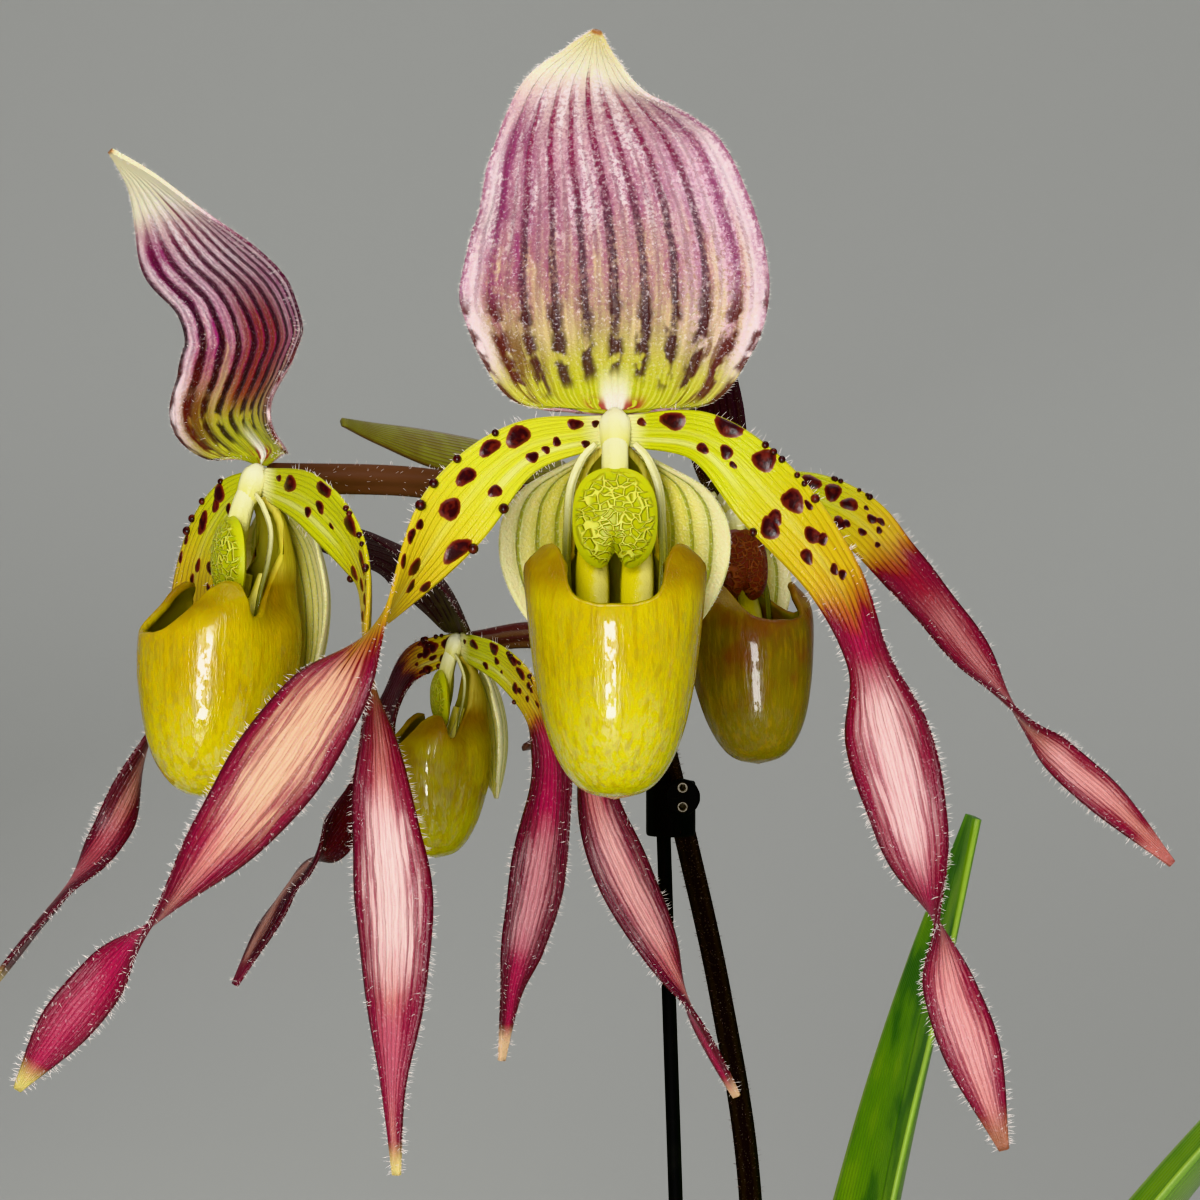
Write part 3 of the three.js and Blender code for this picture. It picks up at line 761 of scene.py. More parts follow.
@dataclass(frozen=True)
class HoodFinish(Finish):
    """The upper sepal: pale ground, wine stripes that break into spots, green base and cream tip."""

    name: str
    low: Colour = (0.34, 0.26, 0.09)
    mid: Colour = (0.38, 0.24, 0.16)
    pale: Colour = (0.46, 0.26, 0.29)
    high: Colour = (0.61, 0.38, 0.41)
    wash: Colour = (0.23, 0.022, 0.11)
    dark_stripe: Colour = (0.045, 0.014, 0.016)
    mid_stripe: Colour = (0.07, 0.022, 0.036)
    top_stripe: Colour = (0.2, 0.006, 0.055)
    tip: Colour = (0.66, 0.56, 0.2)
    width: float = 0.19
    strong: float = 0.66
    halo: float = 0.55
    core: float = 0.0
    broken: float = 0.5
    cream_from: float = 0.84
    sheen: float = 1.0
    patch: float = 0.85
    glow: Colour = (0.86, 0.61, 0.7)
    # painted shade: how far the sepal is blended towards shade_colour, for blooms that sit in shadow
    shade: float = 0.0
    shade_colour: Colour = (0.014, 0.003, 0.005)

    def _ground(self, w: Wiring, across: Value, along: Value, rim: Value) -> Value:
        """Wires the ground: its change along the sepal, patches, streaks and pale margins.

        Args:
            w: The material's wiring.
            across: The place across the sepal.
            along: The place along it.
            rim: How near the margin, from 0 to 1.

        Returns:
            The colour.
        """
        level = along + rim * rim * (w.fade(along, 0.2, 0.5) * 0.11)
        colour = w.ramp(level, [
            (0.0, (0.36, 0.36, 0.008)), (0.17, (0.36, 0.36, 0.008)), (0.23, (0.38, 0.34, 0.035)),
            (0.29, self.low), (0.4, self.mid), (0.54, self.pale), (0.66, self.high),
            (self.cream_from - 0.06, (0.7, 0.52, 0.48)), (self.cream_from, (0.82, 0.76, 0.54)),
            (0.99, self.tip), (1.0, (0.34, 0.14, 0.03)),
        ])
        grain = w.noise(w.place(), 1.9, 3.0, 0.65)
        washed = w.band(along, 0.24, 0.36, self.cream_from - 0.12, self.cream_from)
        colour = w.blend(w.ease(grain, 0.42, 0.6) * washed * 0.4, colour, self.wash)
        cloud = w.noise(w.vector(across * 2.4, along * 3.0, 3.0), 2.2, 3.0)
        patch = w.ease(rim, 0.4, 0.7) * w.band(along, 0.3, 0.44, 0.7, 0.82)
        colour = w.blend(patch * w.ease(cloud, 0.34, 0.56) * self.patch, colour, self.wash)
        pink = w.ease(across, -0.3, -0.75) * w.band(along, 0.16, 0.3, 0.56, 0.72)
        colour = w.blend(pink * w.ease(grain, 0.36, 0.56) * 0.65, colour, self.glow)
        streak_at = w.vector(across * 8.0, along * 4.0, 7.0)
        streak = w.ease(w.noise(streak_at, 1.4, 3.0), 0.46, 0.62) * w.band(along, 0.42, 0.56, 0.8, 0.92)
        colour = w.blend(streak * w.ease(grain, 0.62, 0.4) * 0.85, colour, (0.88, 0.76, 0.77))
        beige_at = w.vector(across * 11.0, along * 4.0, 11.0)
        beige = w.ease(w.noise(beige_at, 1.0, 3.0), 0.46, 0.6) * w.band(along, 0.2, 0.28, 0.42, 0.56)
        colour = w.blend(beige * 0.6, colour, (0.58, 0.44, 0.2))
        core = w.fade(rim, 0.2, 0.5) * w.band(along, 0.2, 0.3, 0.48, 0.66)
        colour = w.blend(core * self.core, colour, (0.24, 0.04, 0.015))
        brown_at = w.vector(across * 14.0, along * 7.0, 15.0)
        beside = w.band(rim, 0.42, 0.66, 0.82, 0.92)
        brown = w.ease(w.noise(brown_at, 1.0, 3.0), 0.48, 0.58) * beside * w.fade(along, 0.22, 0.34)
        colour = w.blend(brown * w.ease(along, 0.08, 0.13) * 0.8, colour, (0.11, 0.035, 0.012))
        margin = w.band(along, 0.14, 0.24, 0.66, 0.8)
        edge = rim + (grain - 0.5) * 0.12
        return w.blend(w.ease(edge, 0.82, 0.96) * (margin * 0.85), colour, (0.86, 0.7, 0.71))

    def _stripe_colour(self, w: Wiring, along: Value, outer_part: Value) -> Value:
        """Wires the stripes' change from dark grey-maroon at the foot to crimson near the tip.

        Args:
            w: The material's wiring.
            along: The place along the sepal.
            outer_part: A mask of the part near the margins.

        Returns:
            The colour.
        """
        stripe = w.ramp(along, [
            (0.0, self.dark_stripe), (0.34, self.dark_stripe), (0.5, self.mid_stripe),
            (0.66, self.top_stripe), (0.9, (0.28, 0.01, 0.07)),
        ])
        return w.blend(outer_part * 0.8, stripe, self.wash)

    def _foot(self, w: Wiring, colour: Value, along: Value, rim: Value, fine: Value, dash: Value) -> Value:
        """Wires the pale rays, the white heart and its red dashes at the sepal's foot.

        Args:
            w: The material's wiring.
            colour: The colour so far.
            along: The place along the sepal.
            rim: How near the margin, from 0 to 1.
            fine: The finest lines.
            dash: The dashes' mask.

        Returns:
            The colour.
        """
        rays = w.ease(fine, 0.3, 0.9) * w.band(along, 0.04, 0.08, 0.14, 0.24)
        colour = w.blend(rays * 0.35, colour, (0.62, 0.58, 0.12))
        heart = w.fade(along, 0.11, 0.22) * w.fade(rim, 0.06, 0.17)
        colour = w.blend(heart, colour, (0.86, 0.8, 0.66))
        beside = w.band(rim, 0.07, 0.12, 0.24, 0.34)
        dashes = beside * w.ease(dash, 0.1, 0.5) * w.fade(along, 0.11, 0.15)
        return w.blend(dashes * 0.9, colour, (0.26, 0.01, 0.02))

    def _outer_side(self, w: Wiring, along: Value, rim: Value, second: Value) -> Value:
        """Wires the outer side: faint stripes, a green middle and the cream tip.

        Args:
            w: The material's wiring.
            along: The place along the sepal.
            rim: How near the margin, from 0 to 1.
            second: The finer stripes' mask.

        Returns:
            The colour.
        """
        outer = w.blend(second * 0.5, (0.5, 0.3, 0.3), self.wash)
        outer = w.blend(w.fade(rim, 0.0, 0.16), outer, (0.32, 0.34, 0.08))
        return w.blend(w.ease(along, 0.75, 0.9), outer, self.tip)

    def paint(self, w: Wiring, shader: bpy.types.Node) -> None:
        """Wires the stripes, the blotches, the heart, the outer side, the painted shade, the painted glints
        and the grain's relief over the ground.
        """
        at = w.blade()
        across, along, rim = at["Across"], at["Along"], at["Rim"]
        colour = self._ground(w, across, along, rim)
        uneven = w.noise(w.vector(across * 6.0, along * 9.0, 13.0), 1.0, 2.0)
        width = (0.35 + uneven * 1.3) * self.width
        lines = w.lines(at, spacing=0.2, width=width, waver=0.013, stretch=6.0)
        halo = w.lines(at, spacing=0.2, width=0.5, waver=0.02, stretch=6.0)
        broad = w.lines(at, spacing=0.2, width=0.38, waver=0.02, stretch=14.0)
        second = w.lines(at, spacing=0.1, width=0.24, waver=0.014, stretch=5.0)
        fine = w.lines(at, spacing=0.05, width=0.3, waver=0.02, stretch=5.0)
        dash_at = w.vector(across * 7.0, along * 19.0, 1.0)
        dash = w.ease(w.noise(dash_at, 1.0, 2.0), 0.4, 0.52)
        speck = w.noise(w.place(), 1.5, 3.0, 0.65)
        ends = w.noise(w.vector(across * 5.0, 0.0, 4.0), 1.0, 1.0)
        reach = along + (ends - 0.5) * 0.22
        stripes = lines * w.ease(along, 0.22, 0.3) * w.fade(reach, self.cream_from - 0.12, self.cream_from)
        centre = w.fade(rim, 0.02, 0.045) * w.band(along, 0.22, 0.3, 0.8, 0.88)
        outer_part = w.ease(rim, self.strong - 0.08, self.strong + 0.06)
        stripes = w.math("MAXIMUM", stripes * (1.0 - outer_part * 0.35), centre)
        stripes = stripes * (1.0 - self.broken + w.ease(speck, 0.38, 0.56) * self.broken)
        around = halo * w.ease(along, 0.26, 0.4) * w.fade(reach, self.cream_from - 0.14, self.cream_from)
        colour = w.blend(around * w.ease(speck, 0.3, 0.6) * self.halo, colour, self.wash)
        between = w.band(along, 0.22, 0.36, 0.58, 0.76)
        colour = w.blend(second * between * 0.3, colour, self.mid_stripe)
        colour = w.blend(fine * between * 0.16, colour, self.wash)
        colour = w.blend(stripes * 0.95, colour, self._stripe_colour(w, along, outer_part))
        colour = self._foot(w, colour, along, rim, fine, dash)
        low = w.ease(along + rim * 0.1, 0.18, 0.215) * w.fade(along, 0.3, 0.4)
        blotches = broad * dash * low
        blotch = w.blend(w.ease(rim, 0.5, 0.8), self.dark_stripe, (0.075, 0.012, 0.01))
        colour = w.blend(blotches * 0.95, colour, blotch)
        colour = w.blend(at["Back"], colour, self._outer_side(w, along, rim, second))
        # painted shade over the whole sepal
        colour = w.blend(self.shade, colour, self.shade_colour)
        grain = w.grains(0.36, 0.57)
        # painted glints: pale specks blended into the colour, weaker on the shaded hoods
        painted_glint_strength = (0.1 + 0.5 * self.broken) * (1 - 0.85 * self.shade)
        painted_glint_mask = grain["Flecks"] * w.ease(along, 0.1, 0.3) * painted_glint_strength
        colour = w.blend(painted_glint_mask, colour, (0.95, 0.86, 0.88))
        height = grain["Height"] * 0.55 + (1 - lines) * 0.55
        gloss = 0.12 * (1 - self.shade)
        w.set(
            shader, Base_Color=colour, Normal=w.bump(height, 0.8, 0.35), Roughness=0.42 + 0.2 * self.shade,
            Subsurface_Weight=gloss, Subsurface_Scale=0.001, Sheen_Weight=gloss * self.sheen,
            Specular_IOR_Level=(0.5 - 0.25 * self.shade) * self.sheen,
        )


@dataclass(frozen=True)
class Lobe:
    """A pale stretch along the middle of a petal: partly the petal's own pale centre, partly a painted sheen.
    """

    centre: float
    half: float
    colour: Colour
    strength: float = 0.9


@dataclass(frozen=True)
class PetalFinish(Finish):
    """A petal: yellow-green first part, then crimson with dark rims and pale lobes that are partly painted
    sheen, and a cream tip.
    """

    name: str
    lobes: tuple[Lobe, ...]
    upper: float = 1.0
    near: Colour = (0.44, 0.45, 0.008)
    turn: Colour = (0.36, 0.12, 0.015)
    deep: Colour = (0.14, 0.003, 0.018)
    flesh: Colour = (0.3, 0.01, 0.05)
    dark: Colour = (0.055, 0.002, 0.007)
    tip: Colour = (0.66, 0.52, 0.18)
    tip_from: float = 0.93
    change: float = 0.33
    back_pale: Colour = (0.72, 0.36, 0.26)

    def _late(self, w: Wiring, at: dict[str, Value], cloud: Value, veins: Value, hairline: Value) -> Value:
        """Wires the crimson part with its dark rims and its pale lobes, which are partly painted sheen.

        Args:
            w: The material's wiring.
            at: The place on the blade.
            cloud: Cloudy noise that makes the edges ragged.
            veins: The broad veins.
            hairline: The fine veins.

        Returns:
            The colour.
        """
        across, along, rim, back = at["Across"], at["Along"], at["Rim"], at["Back"]
        streaky = w.noise(w.vector(across * 9.0, along * 12.0, 9.0), 1.0, 3.0)
        wide = rim + (cloud - 0.5) * 0.4 + (streaky - 0.5) * 0.9
        flesh = w.blend(w.ease(rim, 0.15, 0.75), self.flesh, self.deep)
        flesh = w.blend(back * (w.fade(wide, 0.0, 0.7) * 0.45), flesh, self.back_pale)
        # partly the petal's own pale centre, partly painted sheen: each lobe lightens the middle of its
        # stretch
        for lobe in self.lobes:
            off = abs(along - lobe.centre)
            reach = off / lobe.half + (cloud - 0.5) * 0.5
            mask = w.fade(reach, 0.35, 1.0) * w.fade(wide, 0.12, 0.92)
            flesh = w.blend(mask * lobe.strength, flesh, lobe.colour)
        flesh = w.blend(veins * 0.5 * (0.35 + w.ease(rim, 0.05, 0.5)), flesh, self.deep)
        flesh = w.blend(hairline * 0.34, flesh, self.flesh)
        flesh = w.blend(w.ease(rim, 0.8, 0.98) * 0.8, flesh, self.dark)
        return flesh

    def _early(self, w: Wiring, at: dict[str, Value], veins: Value, hairline: Value) -> Value:
        """Wires the yellow-green first part.

        Args:
            w: The material's wiring.
            at: The place on the blade.
            veins: The broad veins.
            hairline: The fine veins.

        Returns:
            The colour.
        """
        across, along, rim = at["Across"], at["Along"], at["Rim"]
        first = w.blend(w.ease(along, self.change - 0.2, self.change - 0.02), self.near, (0.5, 0.33, 0.015))
        first = w.blend(w.fade(rim, 0.0, 0.22) * 0.3, first, (0.6, 0.58, 0.14))
        low = abs(across * self.upper + 0.48)
        gleam = w.fade(low, 0.04, 0.2) * w.ease(along, 0.01, 0.04) * w.fade(along, 0.13, 0.2)
        first = w.blend(gleam * 0.35, first, (0.74, 0.72, 0.34))
        first = w.blend(
            veins * 0.4 * w.ease(along, self.change - 0.12, self.change), first, (0.2, 0.01, 0.015),
        )
        first = w.blend(hairline * 0.16, first, (0.34, 0.34, 0.01))
        first = w.blend(w.fade(along, 0.0, 0.035), first, (0.78, 0.74, 0.36))
        return first

    def paint(self, w: Wiring, shader: bpy.types.Node) -> None:
        """Wires both parts, the change between them, the tip, the painted glints and the grain's relief."""
        at = w.blade()
        across, along, rim = at["Across"], at["Along"], at["Rim"]
        cloud = w.noise(w.vector(across * 1.6, along * 9.0, 5.0), 1.3, 3.0)
        veins = w.lines(at, spacing=0.2, width=0.26, waver=0.05, stretch=8.0)
        hairline = w.lines(at, spacing=0.085, width=0.3, waver=0.035, stretch=14.0)
        ragged = along + (cloud - 0.5) * 0.1 - veins * 0.018 + rim * 0.03
        flesh = self._late(w, at, cloud, veins, hairline)
        first = self._early(w, at, veins, hairline)
        bridge = w.blend(w.ease(ragged, self.change - 0.035, self.change + 0.02), first, self.turn)
        bridge = w.blend(
            veins * w.ease(ragged, self.change - 0.04, self.change + 0.01), bridge, (0.13, 0.004, 0.01),
        )
        colour = w.blend(w.ease(ragged, self.change, self.change + 0.05), bridge, flesh)
        colour = w.blend(w.ease(along, self.tip_from, self.tip_from + 0.04), colour, self.tip)
        grain = w.grains(0.3, 0.58)
        late = w.ease(ragged, self.change, self.change + 0.1)
        # painted glints: pale specks on the crimson part
        colour = w.blend(grain["Flecks"] * 0.18 * late, colour, (0.9, 0.66, 0.7))
        height = grain["Height"] * 0.5 + (1 - veins) * 0.6
        w.set(
            shader, Base_Color=colour, Normal=w.bump(height, 0.75, 0.3), Roughness=0.26 + late * 0.12,
            Subsurface_Weight=0.06, Subsurface_Scale=0.001, Sheen_Weight=0.03,
        )


@dataclass(frozen=True)
class LowerSepalFinish(Finish):
    """The lower sepal: pale yellow-green with green lines and a cream hairy rim."""

    name: str
    ground: Colour = (0.7, 0.63, 0.12)
    line: Colour = (0.26, 0.28, 0.012)
    rim: Colour = (0.72, 0.66, 0.34)

    def paint(self, w: Wiring, shader: bpy.types.Node) -> None:
        """Wires the ground, the green lines, the painted glints and the grain's relief."""
        at = w.blade()
        along, edge = at["Along"], at["Rim"]
        lines = w.lines(at, spacing=0.17, width=0.14, waver=0.01)
        soft = w.lines(at, spacing=0.17, width=0.45, waver=0.02)
        olive = w.fade(edge, 0.15, 0.75) * w.fade(along, 0.15, 0.6)
        colour = w.blend(olive * 0.8, self.ground, (0.54, 0.51, 0.018))
        colour = w.blend(w.ease(edge, 0.62, 0.98), colour, self.rim)
        colour = w.blend(soft * 0.3, colour, (0.34, 0.35, 0.05))
        colour = w.blend(lines * 0.85, colour, self.line)
        grain = w.grains(0.36, 0.53)
        # painted glints: pale specks over the sepal
        colour = w.blend(grain["Flecks"] * 0.4, colour, (0.82, 0.8, 0.54))
        height = grain["Height"] * 0.6 + (1 - lines) * 0.5
        w.set(
            shader, Base_Color=colour, Normal=w.bump(height, 0.8, 0.35), Roughness=0.5,
            Subsurface_Weight=0.12, Subsurface_Scale=0.001, Sheen_Weight=0.2,
        )


@dataclass(frozen=True)
class LipFinish(Finish):
    """The glossy ochre lip: yellow toe, darker ears that are partly painted shade, a dark olive inside that
    is painted shade, and faint upright veins.
    """

    name: str
    toe: Colour = (0.47, 0.41, 0.004)
    side: Colour = (0.4, 0.295, 0.004)
    # the ear band: partly the lip's own browner tone, partly painted shade above the rim's crest
    ear: Colour = (0.22, 0.125, 0.004)
    claw: Colour = (0.56, 0.48, 0.1)
    vein: Colour = (0.25, 0.155, 0.004)
    # painted shade: the lip's olive darkened for the pouch's inside faces
    inside: Colour = (0.17, 0.15, 0.008)
    gloss: float = 1.0
    brown_blots: float = 0.0
    blot_brown: Colour = (0.12, 0.035, 0.012)

    def paint(self, w: Wiring, shader: bpy.types.Node) -> None:
        """Wires the upright change of colour, the veins, the cloudy brown blots and the broken gloss."""
        at = w.blade()
        along, back = at["Along"], at["Back"]
        here = w.place()
        tall = w.scaled(here, (1.0, 1.0, 0.12))
        streaks = w.noise(tall, 1.1, 3.0, 0.6)
        cloud = w.noise(here, 0.12, 3.0)
        # colour up the lip, from yellow toe to ochre claw; the darker ear band is partly painted shade
        colour = w.ramp(along, [
            (0.0, self.toe), (0.16, self.toe), (0.45, self.side), (0.57, self.side), (0.65, self.ear),
            (0.72, self.ear), (0.8, self.claw), (1.0, self.claw),
        ])
        colour = w.blend(w.ease(cloud, 0.4, 0.7) * 0.5, colour, self.toe)
        colour = w.blend(w.ease(streaks, 0.5, 0.64) * 0.38, colour, self.vein)
        # painted shade on the inside faces
        colour = w.blend(back * 0.85, colour, self.inside)
        # cloudy brown blots that darken the lip, set only on the low and far blooms
        blot = w.ease(w.noise(here, 0.16, 3.0), 0.4, 0.62) * self.brown_blots
        colour = w.blend(blot * w.ease(along, 0.12, 0.4), colour, self.blot_brown)
        fleck = w.noise(w.scaled(here, (1.0, 1.0, 0.4)), 2.6, 2.0)
        height = streaks * 0.6 + fleck * 0.25
        oval = w.scaled(here, (1.0, 1.0, 0.5))
        patches = w.ease(w.noise(oval, 1.1, 3.0, 0.6), 0.46, 0.52) * w.fade(along, 0.52, 0.6)
        rough = 0.26 - 0.14 * self.gloss + streaks * 0.14
        w.set(
            shader, Base_Color=colour, Normal=w.bump(height, 0.7, 0.34),
            Roughness=w.math("MAXIMUM", rough, back * 0.6),
            Coat_Weight=(1 - back) * patches * (0.9 * self.gloss), Subsurface_Weight=0.12,
            Subsurface_Scale=0.0015, Specular_IOR_Level=0.2 + 0.1 * self.gloss, Coat_Roughness=0.06,
            Coat_IOR=2.0,
        )


@dataclass(frozen=True)
class ShieldFinish(Finish):
    """The column's shield: yellow-green with fine raised paler wrinkles inside a smooth rim."""

    name: str
    ground: Colour = (0.34, 0.35, 0.006)
    wrinkle: Colour = (0.64, 0.62, 0.1)
    rim: Colour = (0.48, 0.49, 0.02)

    def paint(self, w: Wiring, shader: bpy.types.Node) -> None:
        """Wires the wrinkles as colour and relief, strongest in the middle of the shield."""
        at = w.blade()
        across, along = at["Across"], at["Along"]
        high = along * 2.0 - 1.0
        bend = w.noise(w.vector(across, high, 0.0), 2.5, 1.0) - 0.5
        where = w.vector(across * 4.2, high * 8.0 + bend * 3.0, 0.0)
        cells = w.read(
            "Distance", "ShaderNodeTexVoronoi", {"Vector": where, "Scale": 1.0}, feature="DISTANCE_TO_EDGE",
        )
        ridge = w.fade(cells, 0.03, 0.16)
        out = w.math("SQRT", abs(across) ** 2.0 + abs(high) ** 2.0)
        inside = w.fade(out, 0.8, 0.94)
        front = 1 - at["Back"]
        wrinkles = ridge * inside * front
        colour = w.blend(wrinkles * 0.75, self.ground, self.wrinkle)
        colour = w.blend(w.ease(out, 0.8, 0.98) * 0.7, colour, self.rim)
        colour = w.blend(at["Back"] * 0.7, colour, self.rim)
        height = wrinkles + w.ease(out, 0.78, 0.9) * 0.5
        w.set(
            shader, Base_Color=colour, Normal=w.bump(height, 1.0, 0.5), Roughness=0.36,
            Specular_IOR_Level=0.35, Subsurface_Weight=0.15, Subsurface_Scale=0.001,
        )


@dataclass(frozen=True)
class FleshFinish(Finish):
    """A soft two-tone plant surface with fine streaks: column neck, claw folds, crowns, ovaries and stems."""

    name: str
    first: Colour
    second: Colour
    streak: Colour
    ribs: float = 6.0
    rough: float = 0.4
    gloss: float = 0.0
    streaks: float = 0.6
    specular: float = 0.5

    def paint(self, w: Wiring, shader: bpy.types.Node) -> None:
        """Wires the change of colour along the piece, the streaks that follow its ribs and faint painted
        glints.
        """
        at = w.blade()
        along = at["Along"]
        wave = w.math("SINE", at["Across"] * self.ribs * math.pi)
        mottle = w.noise(w.place(), 0.8, 4.0)
        line = w.ease(wave * 0.5 + mottle, 0.35, 0.95)
        colour = w.blend(w.ease(along, 0.15, 0.85), self.first, self.second)
        colour = w.blend(line * self.streaks, colour, self.streak)
        grain = w.grains(0.3, 0.62)
        # painted glints: faint pale specks
        colour = w.blend(grain["Flecks"] * 0.12, colour, (0.8, 0.72, 0.62))
        w.set(
            shader, Base_Color=colour, Normal=w.bump(grain["Height"] + line, 0.5, 0.2),
            Roughness=self.rough - 0.06 + mottle * 0.14, Specular_IOR_Level=self.specular,
            Coat_Weight=self.gloss, Coat_Roughness=0.15,
        )


@dataclass(frozen=True)
class BractFinish(Finish):
    """A bract: a leafy sheath with fine veins along it and a darker rim."""

    name: str
    green: Colour = (0.2, 0.2, 0.02)
    brown: Colour = (0.1, 0.04, 0.015)
    share: float = 0.4

    def paint(self, w: Wiring, shader: bpy.types.Node) -> None:
        """Wires the veins, the brown shading and the rim."""
        at = w.blade()
        veins = w.lines(at, spacing=0.16, width=0.28, waver=0.02)
        cloud = w.noise(w.place(), 0.25, 3.0)
        shade = w.math("ADD", w.ease(cloud, 0.4, 0.65), w.ease(at["Along"], 0.5, 0.0) * 0.5, clamp=True)
        colour = w.blend(shade * self.share, self.green, self.brown)
        colour = w.blend(veins * 0.45, colour, self.brown)
        colour = w.blend(w.ease(at["Rim"], 0.8, 0.97) * 0.8, colour, self.brown)
        w.set(shader, Base_Color=colour, Normal=w.bump(veins, 0.6, 0.2), Roughness=0.42, Sheen_Weight=0.15)


@dataclass(frozen=True)
class LeafFinish(Finish):
    """A strap leaf: mid green with soft darker cross bands, fine veins and a lighter rim."""

    name: str
    green: Colour = (0.07, 0.185, 0.002)
    dark: Colour = (0.008, 0.066, 0.006)
    light: Colour = (0.19, 0.31, 0.004)

    def paint(self, w: Wiring, shader: bpy.types.Node) -> None:
        """Wires the mottling, the veins, the midrib, the rim and the waxy gloss."""
        at = w.blade()
        across, along, rim = at["Across"], at["Along"], at["Rim"]
        blocks = w.noise(w.vector(across * 1.6, along * 13.0, 2.0), 1.1, 3.0)
        cloud = w.noise(w.place(), 0.03, 3.0)
        veins = w.lines(at, spacing=0.055, width=0.3, waver=0.004)
        lower = w.fade(along + (cloud - 0.5) * 0.5, 0.25, 0.85)
        colour = w.blend(lower * 0.75, self.green, self.light)
        colour = w.blend(w.ease(blocks, 0.47, 0.62) * 0.72, colour, self.dark)
        colour = w.blend(w.ease(blocks, 0.46, 0.34) * 0.3, colour, self.light)
        colour = w.blend(veins * 0.16, colour, self.dark)
        colour = w.blend(w.fade(rim, 0.0, 0.05) * 0.5, colour, self.dark)
        colour = w.blend(w.ease(rim, 0.93, 0.99) * 0.6, colour, (0.32, 0.44, 0.08))
        colour = w.blend(at["Back"] * 0.6, colour, (0.16, 0.28, 0.06))
        keel = w.fade(rim, 0.0, 0.04) * 1.5
        w.set(
            shader, Base_Color=colour, Normal=w.bump(veins * 0.5 - keel, 0.5, 0.3),
            Roughness=0.24 + cloud * 0.16, Specular_IOR_Level=0.24, Coat_Weight=0.04, Coat_Roughness=0.3,
        )


@dataclass(frozen=True)
class WartFinish(Finish):
    """The glossy dark warts and spots on the petals."""

    name: str
    dark: Colour = (0.02, 0.003, 0.004)
    brown: Colour = (0.1, 0.012, 0.008)
    halo: Colour = (0.34, 0.15, 0.012)

    def paint(self, w: Wiring, shader: bpy.types.Node) -> None:
        """Wires a change from near black to red-brown over each wart, and its lighter foot."""
        out = w.blade()["Along"]
        cloud = w.noise(w.place(), 0.9, 3.0)
        colour = w.blend(w.ease(cloud, 0.46, 0.72), self.dark, self.brown)
        colour = w.blend(w.ease(out, 0.6, 0.8), colour, self.brown)
        colour = w.blend(w.ease(out, 0.82, 1.0), colour, self.halo)
        w.set(
            shader, Base_Color=colour, Normal=w.bump(w.noise(w.place(), 2.5, 2.0), 0.4, 0.15), Roughness=0.36,
            Coat_Weight=0.12, Coat_Roughness=0.2,
        )


@dataclass(frozen=True)
class HairFinish(Finish):
    """Fine plant hairs, pale and a little glassy."""

    name: str
    root: Colour = (0.7, 0.55, 0.5)
    end: Colour = (0.95, 0.92, 0.86)

    def paint(self, w: Wiring, shader: bpy.types.Node) -> None:
        """Wires the change from root to tip."""
        along = w.blade()["Along"]
        w.set(shader, Base_Color=w.blend(along, self.root, self.end), Roughness=0.35, Sheen_Weight=0.3)


@dataclass(frozen=True)
class MouldedFinish(Finish):
    """Moulded plastic or painted rod: fine grain, soft scuffs and a little dust."""

    name: str
    colour: Colour
    worn: Colour
    rough: float = 0.4
    dust: float = 0.15
    specular: float = 0.5
    # painted glints: pale discs painted at given points, used for the clip's eyes
    painted_eye_glints: tuple[Point, ...] = ()
    eye_glint_radius: float = 0.8
    spot: Colour = (0.3, 0.27, 0.22)

    def paint(self, w: Wiring, shader: bpy.types.Node) -> None:
        """Wires the grain, the scuffs, the dust and any painted glints."""
        here = w.place()
        scuff = w.noise(here, 0.09, 5.0, 0.65)
        grain = w.noise(here, 2.2, 2.0)
        colour = w.blend(w.ease(scuff, 0.52, 0.74) * (self.dust * 2), self.colour, self.worn)
        # painted glints: a pale disc at each point
        for spot in self.painted_eye_glints:
            beside = w.read(
                0, "ShaderNodeVectorMath", {0: here, 1: (spot[0], 0.0, spot[2])}, operation="SUBTRACT",
            )
            flat = w.scaled(beside, (1.0, 0.0, 1.0))
            off = w.read(1, "ShaderNodeVectorMath", {0: flat}, operation="LENGTH")
            colour = w.blend(w.fade(off, self.eye_glint_radius * 0.9, self.eye_glint_radius), colour, self.spot)
        w.set(
            shader, Base_Color=colour, Roughness=self.rough - 0.08 + scuff * 0.2,
            Normal=w.bump(grain, 0.25, 0.08), Specular_IOR_Level=self.specular,
        )


@dataclass(frozen=True)
class BarkFinish(Finish):
    """Damp bark chips: fibrous browns from near black to tan."""

    name: str

    def paint(self, w: Wiring, shader: bpy.types.Node) -> None:
        """Wires the chip-to-chip colour, the fibre and the cracked relief."""
        here = w.place()
        patch = w.read(1, "ShaderNodeTexVoronoi", {"Vector": here, "Scale": 0.1})
        tone = w.read(0, "ShaderNodeSeparateColor", {0: patch})
        fibre = w.noise(w.scaled(here, (1.0, 0.25, 1.0)), 0.9, 6.0, 0.7)
        colour = w.ramp(
            tone, [(0.0, (0.045, 0.018, 0.009)), (0.5, (0.11, 0.048, 0.022)), (1.0, (0.21, 0.11, 0.055))],
        )
        colour = w.blend(w.ease(fibre, 0.45, 0.62) * 0.7, colour, (0.028, 0.013, 0.008))
        colour = w.blend(w.ease(fibre, 0.68, 0.78) * 0.6, colour, (0.34, 0.22, 0.13))
        w.set(shader, Base_Color=colour, Normal=w.bump(fibre, 1.0, 1.2), Roughness=0.55 + fibre * 0.3)


# ---------------------------------------------------------------------------------- plant surfaces


class Side(Enum):
    """The two sides of a bloom, as its petals lie."""

    LEFT = "left"
    RIGHT = "right"


